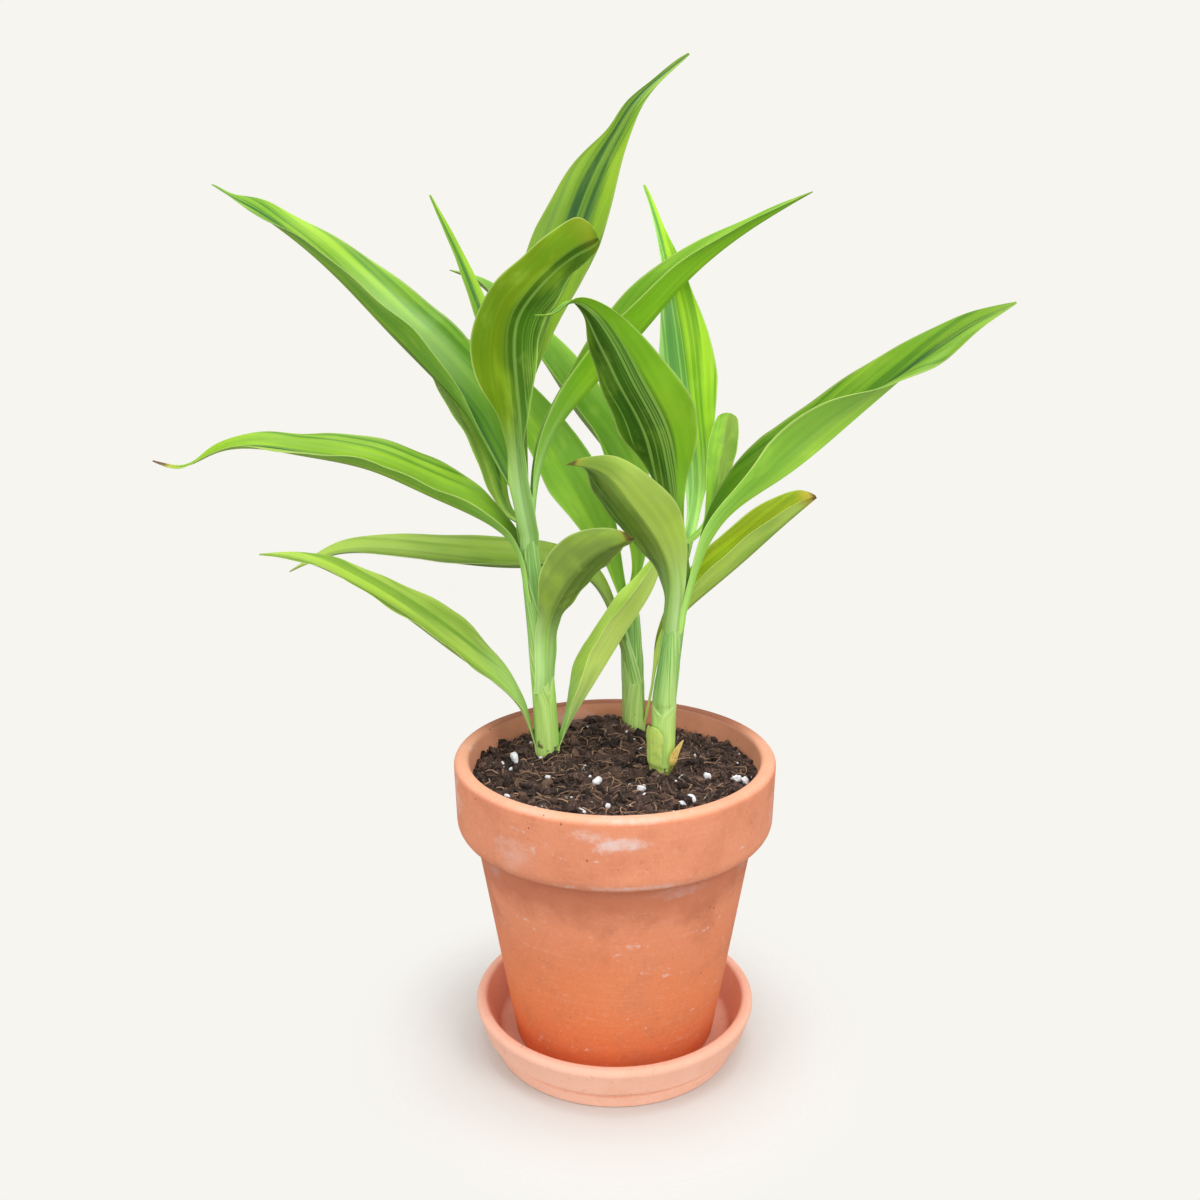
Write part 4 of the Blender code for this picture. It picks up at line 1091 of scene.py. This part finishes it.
def make_saucer():
    foot = SAUCER_BASE
    corners = [
        (SAUCER_MIDDLE, 0.0, 0.0), (foot, 0.0, 1.4 * MM),
        (foot + FOOT_GROOVE, FOOT_HEIGHT, 0.8 * MM), (foot, FOOT_HEIGHT + FOOT_GROOVE, 0.0),
        (*SHOULDER, 3.0 * MM), (SAUCER_RADIUS, SAUCER_HEIGHT, 2.6 * MM),
        (SAUCER_RADIUS - SAUCER_RIM, SAUCER_HEIGHT, 2.2 * MM),
        (SAUCER_INNER_BASE, SAUCER_FLOOR, 4.0 * MM), (SAUCER_MIDDLE, SAUCER_FLOOR, 0.0)]
    clay = clay_finish("saucer_clay_fired", "F0BAA2", "F0BAA2", "E8A888")
    make_turned("saucer", corners, clay, False, 5)


def make_pot():
    corners = [
        (DRAIN_RADIUS, POT_BOTTOM, 0.0), (POT_BASE, POT_BOTTOM, 1.6 * MM),
        (WALL_UNDER_COLLAR, COLLAR_BOTTOM, 0.8 * MM),
        (COLLAR_RADIUS - COLLAR_FLARE, COLLAR_BOTTOM, 7.4 * MM), (COLLAR_RADIUS, POT_TOP, 3.0 * MM),
        (LIP_INNER, POT_TOP, 2.6 * MM), (POT_INNER_BASE, POT_FLOOR, 2.0 * MM),
        (DRAIN_RADIUS, POT_FLOOR, 0.0)]
    clay = clay_finish("pot_clay_fired", "E57E4A", "E6946F", "C87652", pot_wear_and_painted_shade)
    make_turned("pot", corners, clay, True, 9)


def disc_point(rng, reach):
    radius = reach * math.sqrt(rng.random())
    angle = rng.uniform(0.0, math.tau)
    return radius * math.cos(angle), radius * math.sin(angle)


class Ground:
    """Height of the soil's surface, read from a fine grid of its lumps and grains."""

    def __init__(self):
        count = int(2.0 * LIP_INNER / GROUND_STEP) + 2
        line = GROUND_STEP * np.arange(count) - LIP_INNER
        x, y = np.meshgrid(line, line, indexing="ij")
        self.grid = SOIL_HEIGHT + SOIL_SLOPE * y
        rng = random.Random(SEED)
        for _ in range(SOIL_LUMPS):
            place = disc_point(rng, LIP_INNER)
            self.raise_spot(x, y, place, rng.uniform(*LUMP_RADIUS), rng.uniform(*LUMP_HEIGHT))
        for px, py, radius, rise in HEAPS:
            self.raise_spot(x, y, (px * MM, py * MM), radius * MM, rise * MM)
        for _ in range(GRAINS):
            place = disc_point(rng, LIP_INNER)
            size = rng.uniform(*GRAIN_SIZE)
            self.raise_spot(x, y, place, size, size * rng.uniform(-0.5, 0.62))

    def raise_spot(self, x, y, place, radius, rise):
        reach = int(2.0 * radius / GROUND_STEP) + 2
        i, j = (int((v + LIP_INNER) / GROUND_STEP) for v in place)
        part = (slice(max(i - reach, 0), i + reach), slice(max(j - reach, 0), j + reach))
        square = (x[part] - place[0]) ** 2 + (y[part] - place[1]) ** 2
        self.grid[part] += rise * np.exp(-square / (LUMP_SPREAD * radius * radius))

    def __call__(self, x, y):
        last = len(self.grid) - 1.001
        places = (np.asarray(x, float), np.asarray(y, float))
        u, v = (np.clip((place + LIP_INNER) / GROUND_STEP, 0.0, last) for place in places)
        i, j = u.astype(int), v.astype(int)
        a, b = u - i, v - j
        near = self.grid[i, j] * (1.0 - b) + self.grid[i, j + 1] * b
        far = self.grid[i + 1, j] * (1.0 - b) + self.grid[i + 1, j + 1] * b
        return near * (1.0 - a) + far * a


def make_soil(height, material):
    """The mix as one closed body with a finely crumbled top."""
    share = (np.arange(1, SOIL_RINGS + 1) / SOIL_RINGS)[:, None]
    angle = np.linspace(0.0, math.tau, SOIL_STEPS, endpoint=False)
    x, y = share * SOIL_REACH * np.cos(angle), share * SOIL_REACH * np.sin(angle)
    top = np.stack([x, y, height(x, y)], axis=2).reshape(-1, 3)
    centre = [[0.0, 0.0, float(height(0.0, 0.0))]]
    foot_radius = POT_INNER_BASE - 2.0 * MM
    foot = np.stack([foot_radius * np.cos(angle), foot_radius * np.sin(angle),
                     np.full(SOIL_STEPS, POT_FLOOR + 0.4 * MM)], axis=1)
    verts = np.concatenate([centre, top, foot])
    faces = [(0, 1 + k, 1 + (k + 1) % SOIL_STEPS) for k in range(SOIL_STEPS)]
    faces += ring_faces(SOIL_RINGS + 1, SOIL_STEPS, first=1)
    faces.append(tuple(range(len(verts) - SOIL_STEPS, len(verts))))
    stand_in("soil", verts, faces, material, {"shade": np.full(len(verts), 0.5)})


def ball(level):
    """Points and triangles of a unit ball."""
    work = bmesh.new()
    bmesh.ops.create_icosphere(work, subdivisions=level, radius=1.0)
    verts = np.array([v.co[:] for v in work.verts])
    faces = [tuple(v.index for v in f.verts) for f in work.faces]
    work.free()
    return verts, faces


def random_turn(rng):
    axis = Vector([rng.gauss(0.0, 1.0) for _ in range(3)]).normalized()
    return np.array(Matrix.Rotation(rng.uniform(0.0, math.tau), 3, axis))


def lump(base, rng, size, flat, rough):
    """A ball pushed out of round, stretched and turned at random."""
    push = np.zeros(len(base))
    for _ in range(5):
        wave = np.array([rng.gauss(0.0, 2.6) for _ in range(3)])
        push += np.cos(base @ wave + rng.uniform(0.0, 6.0))
    verts = base * (1.0 + rough * push / 2.2)[:, None]
    verts = verts * np.array([rng.uniform(0.8, 1.4), rng.uniform(0.6, 1.0), flat])
    return (verts @ random_turn(rng).T) * size


class Heap:
    """Many small closed bits that make one piece."""

    def __init__(self):
        self.verts = []
        self.faces = []
        self.shade = []

    def add(self, verts, faces, shade=0.5):
        count = len(self.shade)
        self.verts.append(verts)
        self.faces += [tuple(i + count for i in face) for face in faces]
        self.shade += [shade] * len(verts)

    def piece(self, name, material):
        make_piece(name, np.concatenate(self.verts), self.faces, material, {"shade": self.shade})


def make_crumbs(height, material):
    rng = random.Random(SEED + 1)
    fine_ball, coarse_ball = ball(2), ball(1)
    heap = Heap()
    for index in range(CRUMBS):
        x, y = disc_point(rng, SOIL_REACH - 1.5 * MM)
        large = index < LARGE_CRUMBS
        base, faces = fine_ball if large else coarse_ball
        size = MM * rng.uniform(*(LARGE_CRUMB_SIZE if large else CRUMB_SIZE))
        verts = lump(base, rng, size, rng.uniform(0.5, 0.9), 0.42)
        level = float(height(x, y)) + size * rng.uniform(-0.25, 0.35)
        heap.add(verts + np.array([x, y, level]), faces, rng.random())
    heap.piece("soil_crumbs", material)


def make_perlite(height, material):
    rng = random.Random(SEED + 2)
    base, faces = ball(3)
    small, small_faces = ball(2)
    heap = Heap()
    for x, y, size in np.array(PERLITE) * MM:
        verts = lump(base, rng, size, rng.uniform(0.6, 0.85), 0.2)
        heap.add(verts + np.array([x, y, float(height(x, y)) + 0.45 * size]), faces)
    for _ in range(SMALL_PERLITE):
        x, y = disc_point(rng, SOIL_REACH - 3.0 * MM)
        size = MM * rng.uniform(0.4, 1.1)
        verts = lump(small, rng, size, rng.uniform(0.6, 0.9), 0.2)
        heap.add(verts + np.array([x, y, float(height(x, y)) + 0.6 * size]), small_faces)
    heap.piece("perlite_grains", material)


def tube(points, radius, sides=5):
    """A closed tube along points, thinner towards its ends."""
    tangent = unit(np.gradient(points, axis=0))
    across = unit(np.cross(tangent, [0.0, 0.0, 1.0]))
    up = np.cross(across, tangent)
    count = len(points)
    swell = radius * (0.35 + 0.65 * np.sin(np.linspace(0.12, math.pi - 0.12, count)))
    rings = []
    for k in range(sides):
        angle = math.tau * k / sides
        rings.append(points + (across * math.cos(angle) + up * math.sin(angle)) * swell[:, None])
    verts = np.stack(rings, axis=1).reshape(-1, 3)
    return verts, ring_faces(count, sides) + end_faces(count, sides)


def make_fibres(height, material):
    """Peat fibres and fine dead roots that lie on the soil."""
    rng = random.Random(SEED + 3)
    heap = Heap()
    for _ in range(FIBRES):
        x, y = disc_point(rng, SOIL_REACH - 6.0 * MM)
        direction = rng.uniform(0.0, math.tau)
        length = MM * rng.uniform(*FIBRE_LENGTH)
        bend = rng.uniform(-FIBRE_BEND, FIBRE_BEND)
        radius = MM * rng.uniform(*FIBRE_RADIUS)
        lift = MM * rng.uniform(0.0, FIBRE_LIFT)
        points = []
        for share in np.linspace(0.0, 1.0, FIBRE_STEPS + 1):
            level = float(height(x, y)) + radius + 0.4 * MM
            points.append((x, y, level + lift * math.sin(math.pi * share)))
            direction += bend / FIBRE_STEPS
            x += length / FIBRE_STEPS * math.cos(direction)
            y += length / FIBRE_STEPS * math.sin(direction)
        if math.hypot(x, y) < SOIL_REACH - 2.0 * MM:
            verts, faces = tube(smooth_path(np.array(points[::2]) / MM, 12), radius)
            heap.add(verts, faces, rng.random() ** 1.6)
    heap.piece("peat_fibres", material)


def make_scrap(height, material):
    base, faces = ball(3)
    x, y, size = np.array(SCRAP) * MM
    heap = Heap()
    verts = lump(base, random.Random(SEED + 4), size, 0.4, 0.12)
    heap.add(verts + np.array([x, y, float(height(x, y)) + size / 2.0]), faces)
    heap.piece("leaf_scrap", material)


def make_floor():
    """A plain pale floor that melts into the backdrop away from the object."""
    work = bmesh.new()
    bmesh.ops.create_circle(work, cap_ends=True, segments=96, radius=FLOOR_RADIUS)
    mesh = bpy.data.meshes.new("floor")
    work.to_mesh(mesh)
    work.free()
    finish = Finish("pale_floor")
    spread = finish.place().distance((0.0, 0.0, 0.0))
    surface = finish.node("ShaderNodeBsdfDiffuse", {}, {"Color": FLOOR_COLOUR})
    clear = finish.node("ShaderNodeBsdfTransparent")
    sockets = {0: spread.fade(*FLOOR_FADE), 1: surface, 2: clear}
    shown = finish.node("ShaderNodeMixShader", {}, sockets)
    finish.node("ShaderNodeOutputMaterial", {}, {"Surface": shown})
    mesh.materials.append(finish.owner)
    add_object("floor", mesh)


def make_backdrop():
    """The backdrop's own colour behind everything, and a softer light from it on the plant."""
    world = bpy.data.worlds.new("studio")
    studio = Finish("studio", world)
    up = studio.node("ShaderNodeTexCoord").parts()[2]
    share = studio.node("ShaderNodeMapRange", {}, {"Value": up, "From Min": -1.0})
    ramp = studio.node("ShaderNodeValToRGB", {}, {0: share})
    stops = ramp.output.node.color_ramp.elements
    stops.new(GLOW[1][0])
    for stop, (position, level) in zip(stops, GLOW):
        stop.position = position
        stop.color = (level, level, level, 1.0)
    glow = studio.node("ShaderNodeBackground", {}, {"Color": ramp})
    seen = studio.node("ShaderNodeBackground", {}, {"Color": tone(BACKDROP)})
    sockets = {0: studio.node("ShaderNodeLightPath"), 1: glow, 2: seen}
    blend = studio.node("ShaderNodeMixShader", {}, sockets)
    studio.node("ShaderNodeOutputWorld", {}, {"Surface": blend})
    bpy.context.scene.world = world


def make_lights():
    for name, place, size, watts in LIGHTS:
        data = bpy.data.lights.new(name, "AREA")
        data.shape = "SQUARE"
        data.size = size
        data.energy = watts
        lamp = add_object(name, data)
        lamp.location = place
        aim = Vector(LIGHT_AIM) - lamp.location
        lamp.rotation_euler = aim.to_track_quat("-Z", "Y").to_euler()


def make_camera():
    data = bpy.data.cameras.new("camera")
    data.sensor_width = SENSOR
    data.lens = LENS
    data.clip_start, data.clip_end = CLIP
    camera = add_object("camera", data)
    turn = Matrix.Rotation(YAW, 4, "Z") @ Matrix.Rotation(math.pi / 2.0 - PITCH, 4, "X")
    camera.matrix_world = Matrix.Translation(EYE) @ turn @ Matrix.Rotation(ROLL, 4, "Z")
    bpy.context.scene.camera = camera
    bpy.context.scene.view_settings.view_transform = "Standard"


def main():
    make_camera()
    make_lights()
    make_backdrop()
    make_floor()
    make_saucer()
    make_pot()
    height = Ground()
    mix = soil_finish()
    make_soil(height, mix)
    make_crumbs(height, mix)
    make_perlite(height, perlite_finish())
    make_fibres(height, fibre_finish())
    make_scrap(height, scrap_finish())
    cane = cane_finish()
    for name in STEMS:
        make_cane(name, cane)
    for name in LEAVES:
        make_blade(name)


main()
